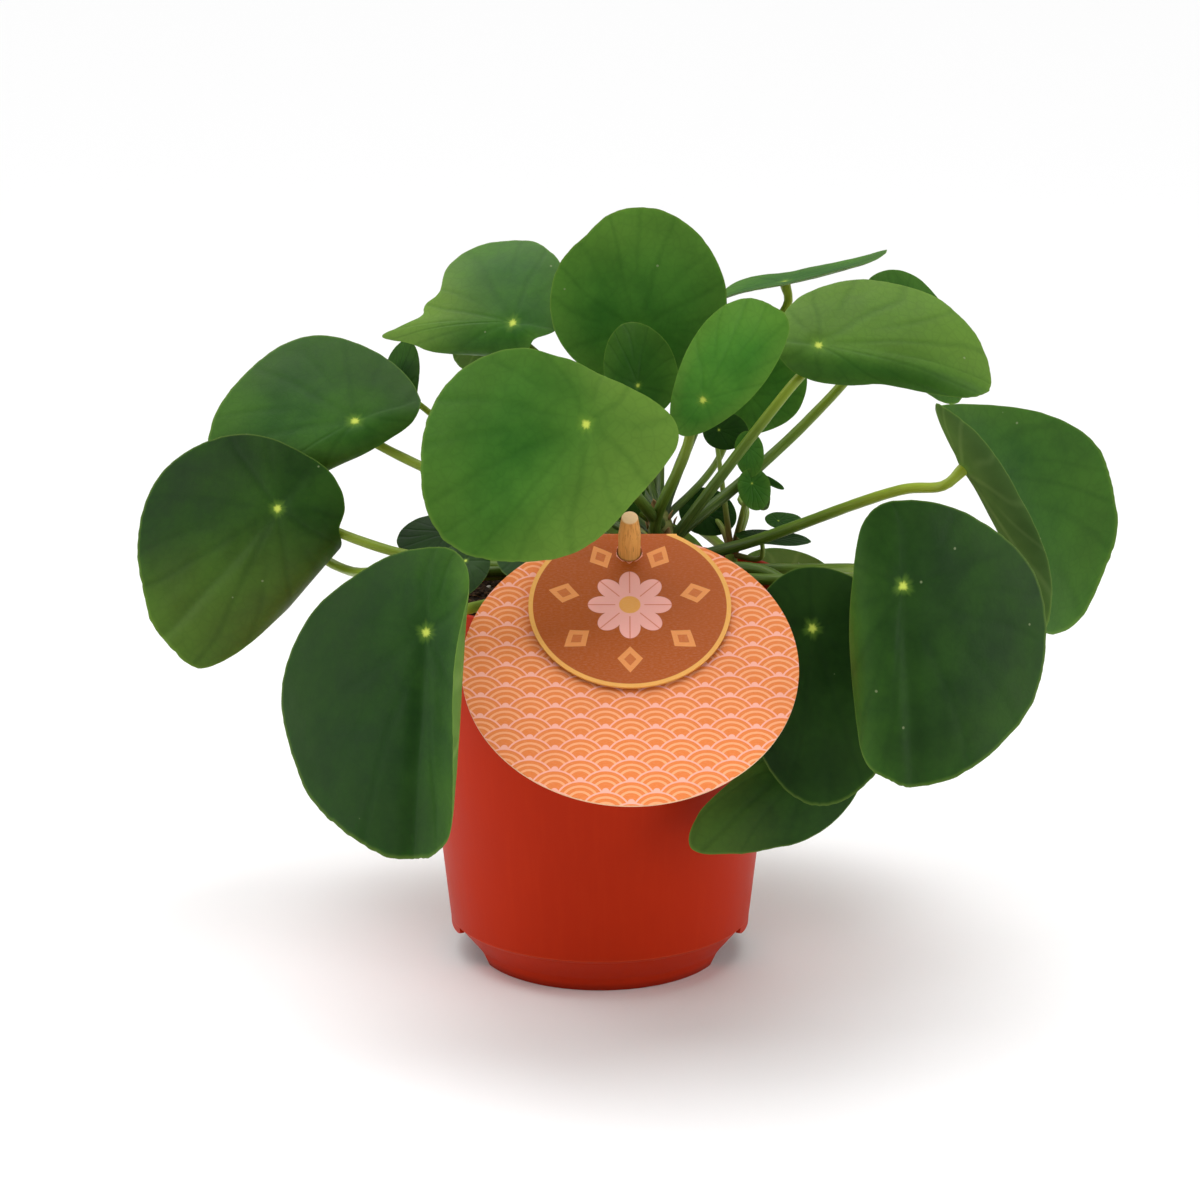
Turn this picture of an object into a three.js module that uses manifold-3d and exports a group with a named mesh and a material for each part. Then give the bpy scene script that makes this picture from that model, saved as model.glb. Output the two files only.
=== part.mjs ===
// A potted Chinese money plant: a thin-walled plastic nursery pot filled with soil, one short stem
// whose leaf stalks fan out over the rim, a separate round blade on the end of each stalk, a small
// offset plant beside the stem, and a folded round card held over the rim by a slanting wooden stick.
//
// Millimetres, +Z up. The origin is on the pot's axis, at the surface that it stands on. -Y is the front.

import * as THREE from "three";
import { mergeVertices } from "three/addons/utils/BufferGeometryUtils.js";
import Module from "manifold-3d";

const wasm = await Module();
wasm.setup();

// ---------------------------------------------------------------- driving dimensions

const RIM_RADIUS = 60;
const POT_HEIGHT = 120;
const WALL = 1.4;
const SHOULDER_RADIUS = 47.6; // where the straight wall ends, above the foot
const SHOULDER_HEIGHT = 12.7;
const SHOULDER_ROUNDING = 1.2;
const FOOT_RADIUS = 39;
const FOOT_NOTCH = { halfWidth: 18, height: 10.8, corner: 5 };
const INNER_CORNER = 2; // where the wall meets the floor, inside
const RIM_BEAD = { height: 6, proud: 0.9, slant: 1 };
const DRAIN = { count: 8, radius: 4, ring: 33, depth: 6, sides: 14 };
const POT_SIDES = 48;

const CLEARANCE = 0.3; // between separate pieces that touch
const SOIL = { level: 110, mound: 1.5, lump: 0.8, sides: 32, rings: 6, edgeGap: 0.3 };

const STEM = {
  foot: [18, 6, 92],
  via: [[20, 4, 112], [20, 5, 128]],
  top: [18, 8, 141],
  footRadius: 6.4,
  topRadius: 4,
  sides: 12,
  steps: 10,
};
const STALK = { baseRadius: 1.9, tipRadius: 1.45, sides: 6, steps: 7, straight: 7, gap: 0.6 };
const THIN_STALK = { share: 0.7, upTo: 40 }; // the share of that thickness on blades up to this length
const BLADE_THICKNESS = 0.8;

const CARD = {
  radius: 48,
  flapRadius: 29.3,
  foldBelowTop: 2.1, // the card is cut by its fold this far inside the big circle
  thickness: 0.7,
  flapLift: 1.1, // air between the card and its flap
  centre: [8.6, -71.4, 111.9],
  slope: 38.6, // degrees from level
  segments: 40,
  foldSides: 12,
};
const STICK = {
  radius: 3.6,
  belowFold: 6.2,
  length: 108,
  proud: 16, // how far it stands out of the flap
  taper: { length: 8, radius: 2.2 },
  point: { length: 14, radius: 0.8 },
  sides: 20,
};

const COLOUR = {
  pot: 0xa8321c,
  soil: 0x2c211b,
  stalk: 0x7d9a2e,
  blade: 0x2f6324,
  offset: 0x47762c,
  card: 0xf0936a,
  stick: 0xd6a768,
};

// ---------------------------------------------------------------- helpers

const vec = (p) => new THREE.Vector3(...p);
const radians = THREE.MathUtils.degToRad;
const degrees = THREE.MathUtils.radToDeg;

// A closed triangle surface from a list of points and a list of corner triples.
function surface(points, triangles) {
  const geometry = new THREE.BufferGeometry();
  const numbers = points.flatMap((point) => point.toArray());
  geometry.setAttribute("position", new THREE.Float32BufferAttribute(numbers, 3));
  geometry.setIndex(triangles.flat());
  return geometry;
}

function toSolid(geometry) {
  const bare = geometry.clone();
  bare.deleteAttribute("normal");
  bare.deleteAttribute("uv");
  const merged = mergeVertices(bare, 1e-4);
  return new wasm.Manifold(
    new wasm.Mesh({
      numProp: 3,
      vertProperties: merged.attributes.position.array,
      triVerts: new Uint32Array(merged.index.array),
    }),
  );
}

function fromSolid(solid) {
  const mesh = solid.getMesh();
  const geometry = new THREE.BufferGeometry();
  geometry.setAttribute("position", new THREE.BufferAttribute(mesh.vertProperties, 3));
  geometry.setIndex(new THREE.BufferAttribute(mesh.triVerts, 1));
  return geometry;
}

const union = (solids) => wasm.Manifold.union(solids);

// A solid of revolution about Z from [radius, height] pairs, listed so that its faces point outwards.
function turned(profile, sides) {
  const points = profile.map(([r, z]) => new THREE.Vector2(r, z));
  return new THREE.LatheGeometry(points, sides).rotateX(Math.PI / 2);
}

// A round bar of changing radius along a curve, with flat ends.
function sweptBar(curve, radiusAt, sides, steps) {
  const frames = curve.computeFrenetFrames(steps, false);
  const points = [];
  for (let i = 0; i <= steps; i++) {
    const centre = curve.getPointAt(i / steps);
    const radius = radiusAt(i / steps);
    for (let k = 0; k < sides; k++) {
      const turn = (2 * Math.PI * k) / sides;
      const out = frames.normals[i].clone().multiplyScalar(Math.cos(turn) * radius);
      out.addScaledVector(frames.binormals[i], Math.sin(turn) * radius);
      points.push(centre.clone().add(out));
    }
  }
  const triangles = [];
  for (let i = 0; i < steps; i++) {
    for (let k = 0; k < sides; k++) {
      const a = i * sides + k;
      const b = i * sides + ((k + 1) % sides);
      triangles.push([a, b, b + sides], [a, b + sides, a + sides]);
    }
  }
  const last = steps * sides;
  for (let k = 1; k < sides - 1; k++) {
    triangles.push([0, k + 1, k], [last, last + k, last + k + 1]);
  }
  return surface(points, triangles);
}

// ---------------------------------------------------------------- pot

// The wall's outer radius at a height, between the shoulder and the rim.
function wallRadius(height) {
  const share = (height - SHOULDER_HEIGHT) / (POT_HEIGHT - SHOULDER_HEIGHT);
  return SHOULDER_RADIUS + share * (RIM_RADIUS - RIM_BEAD.proud - SHOULDER_RADIUS);
}

// The rounded corner between the wall and the foot, from below outwards and up.
function shoulder() {
  const steps = 3;
  const height = SHOULDER_HEIGHT + SHOULDER_ROUNDING;
  const middle = wallRadius(height) - SHOULDER_ROUNDING;
  return Array.from({ length: steps + 1 }, (_, k) => {
    const turn = ((k / steps - 1) * Math.PI) / 2;
    return [middle + SHOULDER_ROUNDING * Math.cos(turn), height + SHOULDER_ROUNDING * Math.sin(turn)];
  });
}

// The pot's shell in section. Its floor is raised, and a slanting foot ring carries it.
function pot() {
  const corner = shoulder();
  const footTop = corner[0][0];
  const beadFoot = POT_HEIGHT - RIM_BEAD.height;
  const floorTop = SHOULDER_HEIGHT + WALL;
  const profile = [
    [0, SHOULDER_HEIGHT],
    [footTop - WALL, SHOULDER_HEIGHT],
    [FOOT_RADIUS - WALL, 0],
    [FOOT_RADIUS, 0],
    ...corner,
    [wallRadius(beadFoot - RIM_BEAD.slant), beadFoot - RIM_BEAD.slant],
    [wallRadius(beadFoot) + RIM_BEAD.proud, beadFoot],
    [RIM_RADIUS, POT_HEIGHT],
    [RIM_RADIUS - RIM_BEAD.proud - WALL, POT_HEIGHT],
    [wallRadius(floorTop + INNER_CORNER) - WALL, floorTop + INNER_CORNER],
    [wallRadius(floorTop) - WALL - INNER_CORNER, floorTop],
    [0, floorTop],
  ];
  const shell = toSolid(turned(profile, POT_SIDES));
  return fromSolid(shell.subtract(union([footNotch(), ...drains()])));
}

// The arch cut through the foot ring from the left side to the right one.
function footNotch() {
  const { halfWidth, height, corner } = FOOT_NOTCH;
  const outline = new THREE.Shape();
  outline.moveTo(-halfWidth, -corner);
  outline.lineTo(halfWidth, -corner);
  outline.lineTo(halfWidth, height - corner);
  outline.absarc(halfWidth - corner, height - corner, corner, 0, Math.PI / 2);
  outline.absarc(corner - halfWidth, height - corner, corner, Math.PI / 2, Math.PI);
  outline.closePath();
  const depth = 2 * RIM_RADIUS;
  const arch = new THREE.ExtrudeGeometry(outline, { depth, bevelEnabled: false, curveSegments: 4 });
  return toSolid(arch.translate(0, 0, -depth / 2).rotateY(Math.PI / 2).rotateX(Math.PI / 2));
}

function drains() {
  return Array.from({ length: DRAIN.count }, (_, i) => {
    const turn = (2 * Math.PI * (i + 0.5)) / DRAIN.count;
    const hole = new THREE.CylinderGeometry(DRAIN.radius, DRAIN.radius, DRAIN.depth, DRAIN.sides);
    const [x, y] = [DRAIN.ring * Math.cos(turn), DRAIN.ring * Math.sin(turn)];
    return toSolid(hole.rotateX(Math.PI / 2).translate(x, y, SHOULDER_HEIGHT + WALL / 2));
  });
}

// ---------------------------------------------------------------- stem and stalks

const stemCurve = new THREE.CatmullRomCurve3([STEM.foot, ...STEM.via, STEM.top].map(vec));

// The stem, or with a clearance the hole that it stands in.
function stem(clearance = 0) {
  const radiusAt = (share) => STEM.footRadius + clearance + share * (STEM.topRadius - STEM.footRadius);
  return toSolid(sweptBar(stemCurve, radiusAt, STEM.sides, STEM.steps).translate(0, 0, -clearance));
}

function stemPointAt(height) {
  const share = (height - STEM.foot[2]) / (STEM.top[2] - STEM.foot[2]);
  return stemCurve.getPoint(THREE.MathUtils.clamp(share, 0, 1));
}

// ---------------------------------------------------------------- blades

// Each blade hangs on the top of its stalk at `at`, a point of its upper face. Its upper face looks
// `turn` degrees to the right of the front and `lift` degrees up. Its long axis runs from `at` to
// the tip, `tip` degrees anticlockwise from straight down the slope as its upper face is looked at.
// `size` is its length and the widths of its left and right halves, `seat` the share of its length
// that lies behind the stalk, `egg` how much wider it is behind its middle than in front of it, and
// `lean` how far its right margin is drawn towards the tip, and its left one back.
// `left`, `right`, `end` and `back` bend those sides: the turn in degrees at the margin, towards
// the upper face if positive, and how late it comes, from 0 at the stalk to 3 near the margin.
// `from` is the height on the stem where the stalk grows, and `via` the points that it passes.
// `lobes` draw the margin out or in: at how many degrees from the tip, by which share of the way
// from the stalk, and over how many degrees to each side.
const FRONT_LEAVES = [
  { name: "blade_left_low", at: [-102, 19, 139], turn: -14, lift: 16, tip: -39,
    size: [74, 37, 34], seat: 0.25, lobes: [[72, -0.13, 20], [139, -0.17, 12], [172, 0.1, 14]],
    left: [-16, 1], right: [-140, 1.8], end: [10, 2], back: [-12, 1], from: 117, via: [[-62, 18, 124.5]] },
  { name: "blade_left_high", at: [-78, 32, 165], turn: -10, lift: 40, tip: -62,
    size: [72, 41, 14], seat: 0.3, lobes: [[128, -0.12, 18]],
    left: [-16, 1], right: [-110, 1.5], end: [-20, 1], back: [-20, 1], from: 122, via: [[-58, 34, 150]] },
  { name: "blade_left_tip", at: [-67, 58, 169], turn: -45, lift: 20, tip: 190, size: [32, 9, 10], seat: 0.4,
    left: [-20, 1], right: [-20, 1], end: [-10, 1], back: [-10, 1], from: 126, via: [[-38, 50, 150]] },
  { name: "blade_front_left", at: [-48, -96, 128], turn: -24, lift: 14, tip: 2,
    size: [89, 48, 19], seat: 0.27, lobes: [[50, 0.1, 20]], lean: -4,
    left: [-24, 1], right: [130, 3], end: [0, 1], back: [-22, 2], from: 118,
    via: [[-37, -49, 123.5], [-42, -76, 127]] },
  { name: "blade_front_middle", at: [-4, -62, 180], turn: -8, lift: 22, tip: -50,
    size: [73, 33, 29], seat: 0.29, lobes: [[205, -0.34, 38], [152, 0.22, 16], [275, 0.13, 32]],
    left: [-12, 1], right: [-10, 1], end: [4, 1], back: [-14, 1], from: 134, via: [[6, -34, 160]] },
  { name: "blade_back_left", at: [-28, 42, 195], turn: -12, lift: 42, tip: -93,
    size: [66, 35, 13], seat: 0.24, egg: 0.45,
    lobes: [[344, -0.31, 18], [314, -0.26, 17], [48, -0.1, 20], [153, -0.34, 20]],
    left: [-20, 1], right: [-105, 1.4], end: [-30, 1], back: [-14, 1], from: 138, via: [[-8, 36, 174]] },
  { name: "blade_top", at: [12, 34, 193], turn: 2, lift: 6, tip: 178, size: [56, 28, 28], seat: 0.3,
    left: [-8, 1], right: [-8, 1], end: [-10, 1], back: [-8, 1], from: 139, via: [[18, 34, 166]] },
  { name: "blade_top_small", at: [12, 14, 179], turn: 24, lift: 8, tip: 186, size: [31, 13, 11], seat: 0.36,
    left: [26, 1], right: [-6, 1], end: [-8, 1], back: [-8, 1], from: 139, via: [[13, 18, 158]] },
  { name: "blade_bright", at: [31, -14, 179], turn: 12, lift: 12, tip: 140,
    size: [49, 11.5, 13.5], seat: 0.26, egg: -0.2,
    left: [8, 1], right: [4, 1], end: [-10, 1], back: [-6, 1], from: 126,
    via: [[17, -1, 138], [26, -8, 162]] },
  { name: "blade_right_back", at: [48, 40, 172], turn: 10, lift: 10, tip: 150,
    size: [36, 17, 17], seat: 0.36, lobes: [[225, -0.1, 30]],
    left: [-6, 1], right: [-6, 1], end: [-6, 1], back: [-6, 1], from: 136, via: [[38, 42, 150]] },
  { name: "blade_right_high", at: [67, 6, 193], turn: 6, lift: 44, tip: 82,
    size: [71, 15, 29], seat: 0.19, lobes: [[280, -0.27, 26]],
    left: [-108, 1.3], right: [-16, 2], end: [-34, 2], back: [-10, 1], from: 124,
    via: [[30, 5, 142], [58, 6, 179]] },
  { name: "blade_far_right", at: [95, 36, 198], turn: 40, lift: 30, tip: 30, size: [50, 22, 22], seat: 0.3,
    lobes: [[308, -0.2, 30]],
    left: [-10, 1], right: [-10, 1], end: [-16, 1], back: [-6, 1], from: 128,
    via: [[51.5, 20, 153.5], [77, 29, 177.5]] },
  { name: "blade_level", at: [60, 62, 206], turn: -90, lift: 81, tip: 180,
    size: [58, 19, 19], seat: 0.4, lobes: [[80, -0.45, 40]],
    left: [10, 1], right: [16, 1], end: [14, 1], back: [-14, 1], from: 138, via: [[40, 54, 176]] },
  { name: "blade_right", at: [103.5, -61.6, 167.5], turn: 118, lift: 34, tip: -3,
    size: [80, 13, 40], seat: 0.255, lean: 13, egg: -0.25, lobes: [[125, 0.3, 28], [18, 0.1, 16]],
    left: [50, 1], right: [114, 0.3], end: [-12, 1], back: [6, 1], from: 120,
    via: [[44, -4, 132.5], [86.7, -50, 158.7]] },
  { name: "blade_front_right", at: [83, -96, 141], turn: 16, lift: 8, tip: 2,
    size: [80, 20, 46], seat: 0.3, lobes: [[240, -0.16, 30], [310, 0.1, 18]],
    left: [-104, 1.3], right: [-20, 1], end: [0, 1], back: [-16, 2], from: 118,
    via: [[50, -24, 126], [82, -44, 131]] },
  { name: "blade_shaded", at: [62, -52, 118], turn: 4, lift: 16, tip: 2, size: [70, 21, 27], seat: 0.26,
    left: [-10, 1], right: [-10, 1], end: [-6, 1], back: [-12, 1], from: 117, via: [[44, -28, 125]] },
  { name: "blade_lowest", at: [62, -51, 82], turn: 0, lift: 24, tip: -60,
    size: [58, 18, 25], seat: 0.26, lobes: [[336, -0.44, 24], [20, 0.12, 16]],
    left: [-10, 1], right: [-40, 1], end: [-8, 1], back: [-10, 1], from: 118,
    via: [[52, -16, 126], [67, -32, 109]] },
];

// Smaller blades in the shade of the stem.
const INNER_LEAVES = [
  { name: "blade_inner_left", at: [-41, -14, 130], turn: -14, lift: 50, tip: -20,
    size: [23, 9, 9], seat: 0.3,
    left: [-14, 1], right: [-14, 1], end: [-10, 1], back: [-6, 1], from: 118, via: [[-14, 2, 122]] },
  { name: "blade_inner_front", at: [-16, -8, 138.5], turn: -14, lift: 56, tip: -20,
    size: [30, 13, 13], seat: 0.3,
    left: [-14, 1], right: [-14, 1], end: [-10, 1], back: [-6, 1], from: 124, via: [[2, 2, 129]] },
  { name: "blade_left_under", at: [-48, 30, 129], turn: -10, lift: 58, tip: -80,
    size: [26, 11, 11], seat: 0.32,
    left: [-14, 1], right: [-14, 1], end: [-10, 1], back: [-6, 1], from: 119, via: [[-26, 18, 126]] },
  { name: "blade_upright", at: [8, -5, 147], turn: 20, lift: 6, tip: 178, size: [26, 6, 5], seat: 0.3,
    left: [30, 1], right: [30, 1], end: [0, 1], back: [0, 1], from: 134, via: [] },
];

// Blades that fill the plant's other sides.
const BACK_LEAVES = [
  { name: "blade_back_middle", at: [-16, 92, 150], turn: 186, lift: 30, tip: 6,
    size: [60, 28, 28], seat: 0.3,
    left: [-12, 1], right: [-16, 1], end: [-12, 1], back: [-10, 1], from: 130, via: [[-2, 48, 142]] },
  { name: "blade_back_low", at: [12, 105, 101], turn: 176, lift: 14, tip: -8, size: [66, 30, 28], seat: 0.3,
    left: [-18, 1], right: [-12, 1], end: [-6, 1], back: [-10, 1], from: 118, via: [[16, 64, 127]] },
  { name: "blade_back_left_low", at: [-56, 84, 96], turn: 214, lift: 16, tip: 12,
    size: [62, 26, 28], seat: 0.3,
    left: [-14, 1], right: [-22, 1], end: [-8, 1], back: [-10, 1], from: 119, via: [[-24, 52, 126]] },
  { name: "blade_back_right_low", at: [104, 58, 108], turn: 122, lift: 12, tip: -14,
    size: [60, 26, 26], seat: 0.3,
    left: [-22, 1], right: [-14, 1], end: [-8, 1], back: [-10, 1], from: 119,
    via: [[60.5, -4, 124.6], [85, 24, 118]] },
  { name: "blade_back_right", at: [68, 88, 96], turn: 148, lift: 18, tip: 10, size: [58, 26, 26], seat: 0.3,
    left: [-14, 1], right: [-14, 1], end: [-8, 1], back: [-10, 1], from: 118, via: [[30, 50, 127]] },
  { name: "blade_back_far_left", at: [-114, 58, 130], turn: 232, lift: 20, tip: 16,
    size: [56, 24, 26], seat: 0.3,
    left: [-14, 1], right: [-20, 1], end: [-8, 1], back: [-10, 1], from: 118,
    via: [[-60, -6, 124.6], [-84, 32, 117]] },
  { name: "blade_back_top", at: [14, 84, 188], turn: 176, lift: 44, tip: -10, size: [48, 22, 22], seat: 0.3,
    left: [-14, 1], right: [-14, 1], end: [-14, 1], back: [-10, 1], from: 137, via: [[16, 50, 168]] },
  { name: "blade_back_top_left", at: [-34, 84, 191], turn: 206, lift: 36, tip: 8,
    size: [34, 15, 15], seat: 0.3,
    left: [-14, 1], right: [-14, 1], end: [-14, 1], back: [-10, 1], from: 136, via: [[-12, 48, 166]] },
];

// The offset plant beside the stem: small blades on short stalks, grown together with them.
const OFFSET = { root: [41, 24, 95], top: [42, 24, 126], radius: 2.6, sides: 8 };
const OFFSET_STALK = { root: [42, 24, 123], radius: 0.9, sides: 5, steps: 5 };
const OFFSET_LEAVES = [
  { at: [37.5, 22, 163.5], turn: 6, lift: 4, tip: 80, size: [15, 6, 6], via: [[39, 26, 144]] },
  { at: [46, 14, 159.5], turn: -20, lift: 10, tip: 10, size: [14.5, 4.5, 5], via: [[45.5, 13, 143]] },
  { at: [47.6, 12, 148.4], turn: 10, lift: 10, tip: 15, size: [13.5, 5, 5.5], via: [[45.5, 19, 136]] },
  { at: [56.5, 20, 135.3], turn: 10, lift: 60, tip: 85, size: [12.5, 4, 4], via: [[50, 23, 130]] },
  { at: [51, 15, 131], turn: 0, lift: 74, tip: 86, size: [24, 5, 5], via: [] },
  { at: [32, 33, 136], turn: 0, lift: 30, tip: 70, size: [19, 8, 8], via: [[38, 31, 132]] },
  { at: [50, 38, 143], turn: 130, lift: 30, tip: 10, size: [16, 6, 6], via: [[47, 30, 136]] },
].map((leaf) => ({ ...leaf, seat: 0.35, left: [-8, 1], right: [-8, 1], end: [-10, 1], back: [0, 1] }));

const LEAVES = [...FRONT_LEAVES, ...INNER_LEAVES, ...BACK_LEAVES];

const BEND_STEPS = 10; // steps in which a bend is added up

// Where a strip that starts flat and turns by `total` degrees at `reach` lies after a length.
function bent(length, reach, [total, late]) {
  let along = 0;
  let up = 0;
  for (let i = 0; i < BEND_STEPS; i++) {
    const here = ((i + 0.5) / BEND_STEPS) * Math.abs(length);
    const angle = radians(total) * (here / reach) ** late;
    along += (Math.cos(angle) * Math.abs(length)) / BEND_STEPS;
    up += (Math.sin(angle) * Math.abs(length)) / BEND_STEPS;
  }
  return [Math.sign(length) * along, up];
}

// A blade's own axes: out of its upper face, towards its tip, and to the right of that.
function bladeAxes({ turn, lift, tip }) {
  const face = new THREE.Vector3(
    Math.sin(radians(turn)) * Math.cos(radians(lift)),
    -Math.cos(radians(turn)) * Math.cos(radians(lift)),
    Math.sin(radians(lift)),
  );
  const down = new THREE.Vector3(0, 0, -1).addScaledVector(face, face.z).normalize();
  const beside = face.clone().cross(down);
  const long = down.multiplyScalar(Math.cos(radians(tip))).addScaledVector(beside, Math.sin(radians(tip)));
  return { face, long: long.normalize(), wide: face.clone().cross(long).normalize() };
}

const EGG = 0.08;
const RIPPLE = { height: 0.5, waves: 5, forLength: 70 };

// How far the margin reaches on the spoke at `angle`, once its lobes are drawn out and in.
function lobed(angle, lobes) {
  return lobes.reduce((reach, [middle, size, breadth]) => {
    const away = THREE.MathUtils.euclideanModulo(degrees(angle) - middle + 180, 360) - 180;
    return reach + size * Math.exp(-((away / breadth) ** 2));
  }, 1);
}

// The point of a blade's upper face on the spoke at `angle`, at a share of the way to the margin.
function bladePoint(leaf, axes, share, angle) {
  const { size, seat, egg = EGG, lean = 0, lobes = [] } = leaf;
  const [length, leftWidth, rightWidth] = size;
  const rightHalf = Math.sin(angle) > 0;
  const width = rightHalf ? rightWidth : leftWidth;
  const reach = share * lobed(angle, lobes);
  const u = reach * (length * (0.5 - seat + 0.5 * Math.cos(angle)) + lean * Math.sin(angle));
  const v = reach * width * Math.sin(angle) * (1 - egg * Math.cos(angle));
  const [alongU, upU] = u > 0 ? bent(u, length * (1 - seat), leaf.end) : bent(u, length * seat, leaf.back);
  const [alongV, upV] = bent(v, width, rightHalf ? leaf.right : leaf.left);
  const wave = Math.sin(RIPPLE.waves * angle + length + leftWidth);
  const ripple = RIPPLE.height * (length / RIPPLE.forLength) * share ** 4 * wave;
  return vec(leaf.at)
    .addScaledVector(axes.long, alongU)
    .addScaledVector(axes.wide, alongV)
    .addScaledVector(axes.face, upU + upV + ripple);
}

// How many spokes a blade has, and where its rings lie, by its length.
const FINENESS = [
  { longerThan: 40, spokes: 24, rings: [0.42, 0.78, 1] },
  { longerThan: 20, spokes: 16, rings: [0.55, 1] },
  { longerThan: 0, spokes: 12, rings: [1] },
];

const PROBE = { share: 0.02, angle: 0.004 }; // steps that find which way a blade faces at a point

function blade(leaf) {
  const axes = bladeAxes(leaf);
  const { spokes, rings } = FINENESS.find((grade) => leaf.size[0] > grade.longerThan);
  const upper = [vec(leaf.at)];
  const lower = [vec(leaf.at).addScaledVector(axes.face, -BLADE_THICKNESS)];
  for (const share of rings) {
    for (let k = 0; k < spokes; k++) {
      const angle = (2 * Math.PI * k) / spokes;
      const here = bladePoint(leaf, axes, share, angle);
      const inward = bladePoint(leaf, axes, share - PROBE.share, angle).sub(here);
      const onward = bladePoint(leaf, axes, share, angle + PROBE.angle).sub(here);
      const out = onward.cross(inward).normalize();
      upper.push(here);
      lower.push(here.clone().addScaledVector(out, -BLADE_THICKNESS));
    }
  }
  const triangles = [];
  const under = upper.length;
  const both = (a, b, c) => triangles.push([a, b, c], [a + under, c + under, b + under]);
  for (let k = 0; k < spokes; k++) {
    const next = (k + 1) % spokes;
    both(0, 1 + k, 1 + next);
    for (let ring = 0; ring < rings.length - 1; ring++) {
      const a = 1 + ring * spokes + k;
      const b = 1 + ring * spokes + next;
      both(a, a + spokes, b + spokes);
      both(a, b + spokes, b);
    }
    const a = 1 + (rings.length - 1) * spokes + k;
    const b = 1 + (rings.length - 1) * spokes + next;
    triangles.push([a, a + under, b + under], [a, b + under, b]);
  }
  return surface([...upper, ...lower], triangles);
}

// The line that a stalk follows, from its root inside the stem to just under its blade.
function stalkCurve(leaf, root) {
  const { face } = bladeAxes(leaf);
  const end = vec(leaf.at).addScaledVector(face, -(BLADE_THICKNESS + STALK.gap));
  const before = end.clone().addScaledVector(face, -STALK.straight);
  return new THREE.CatmullRomCurve3([root, ...leaf.via.map(vec), before, end]);
}

function stalk(leaf, root) {
  const thickness = leaf.size[0] > THIN_STALK.upTo ? 1 : THIN_STALK.share;
  const radiusAt = (share) => thickness * THREE.MathUtils.lerp(STALK.baseRadius, STALK.tipRadius, share);
  return toSolid(sweptBar(stalkCurve(leaf, root), radiusAt, STALK.sides, STALK.steps));
}

function stemAndStalks() {
  return fromSolid(union([stem(), ...LEAVES.map((leaf) => stalk(leaf, stemPointAt(leaf.from)))]));
}

// The offset's stem, or with a clearance the hole that it stands in.
function offsetStem(clearance = 0) {
  const foot = vec(OFFSET.root).add(new THREE.Vector3(0, 0, -clearance));
  const line = new THREE.LineCurve3(foot, vec(OFFSET.top));
  return toSolid(sweptBar(line, () => OFFSET.radius + clearance, OFFSET.sides, 1));
}

// The offset's stalks run on into its blades.
function offsetPlant() {
  const { root, radius, sides, steps } = OFFSET_STALK;
  const parts = OFFSET_LEAVES.flatMap((leaf) => {
    const end = vec(leaf.at).addScaledVector(bladeAxes(leaf).face, -BLADE_THICKNESS / 2);
    const curve = new THREE.CatmullRomCurve3([vec(root), ...leaf.via.map(vec), end]);
    return [toSolid(blade(leaf)), toSolid(sweptBar(curve, () => radius, sides, steps))];
  });
  return fromSolid(union([offsetStem(), ...parts]));
}

// ---------------------------------------------------------------- card and stick

const slope = radians(CARD.slope);
const cardAxes = {
  across: new THREE.Vector3(1, 0, 0),
  upSlope: new THREE.Vector3(0, Math.cos(slope), Math.sin(slope)),
  face: new THREE.Vector3(0, -Math.sin(slope), Math.cos(slope)),
};
const cardMatrix = new THREE.Matrix4()
  .makeBasis(cardAxes.across, cardAxes.upSlope, cardAxes.face)
  .setPosition(vec(CARD.centre));
const FOLD_LINE = CARD.radius - CARD.foldBelowTop;
const HOLE_LINE = FOLD_LINE - STICK.belowFold;

// A round card with its top cut straight by the fold, as a flat outline.
function cutRound(radius, centreLine) {
  const half = Math.acos((FOLD_LINE - centreLine) / radius);
  const shape = new THREE.Shape();
  shape.absarc(0, centreLine, radius, Math.PI / 2 + half, Math.PI / 2 - half + 2 * Math.PI);
  shape.closePath();
  return shape;
}

// The card lies on the rim. Its flap is folded over at the top and stands a little clear of it.
function card() {
  const { radius, flapRadius, thickness, flapLift, segments } = CARD;
  const halfFold = Math.sqrt(radius ** 2 - FOLD_LINE ** 2);
  const flapCentre = FOLD_LINE - Math.sqrt(flapRadius ** 2 - halfFold ** 2);
  const plate = (shape, from) => {
    const options = { depth: thickness, bevelEnabled: false, curveSegments: segments };
    return toSolid(new THREE.ExtrudeGeometry(shape, options).translate(0, 0, from));
  };
  const back = plate(cutRound(radius, 0), 0);
  const flap = plate(cutRound(flapRadius, flapCentre), thickness + flapLift);
  const depth = 2 * thickness + flapLift;
  const fold = new THREE.CylinderGeometry(depth / 2, depth / 2, 2 * halfFold, CARD.foldSides)
    .rotateZ(Math.PI / 2)
    .translate(0, FOLD_LINE, depth / 2);
  const holeRadius = STICK.radius + CLEARANCE;
  const hole = new THREE.CylinderGeometry(holeRadius, holeRadius, 4 * depth, STICK.sides)
    .rotateX(Math.PI / 2)
    .translate(0, HOLE_LINE, 0);
  const folded = union([back, flap, toSolid(fold)]).subtract(toSolid(hole));
  return fromSolid(folded).applyMatrix4(cardMatrix);
}

// The stick, square to the card and through both its layers, or with a clearance the hole that it
// leaves in the soil.
function stick(clearance = 0) {
  const { radius, length, proud, taper, point, sides } = STICK;
  const top = proud + 2 * CARD.thickness + CARD.flapLift;
  const bottom = top - length;
  const profile = [
    [0, bottom - clearance],
    [point.radius + clearance, bottom - clearance],
    [radius + clearance, bottom + point.length],
    [radius + clearance, top - taper.length],
    [taper.radius + clearance, top],
    [0, top],
  ];
  return turned(profile, sides).translate(0, HOLE_LINE, 0).applyMatrix4(cardMatrix);
}

// ---------------------------------------------------------------- soil

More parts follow.
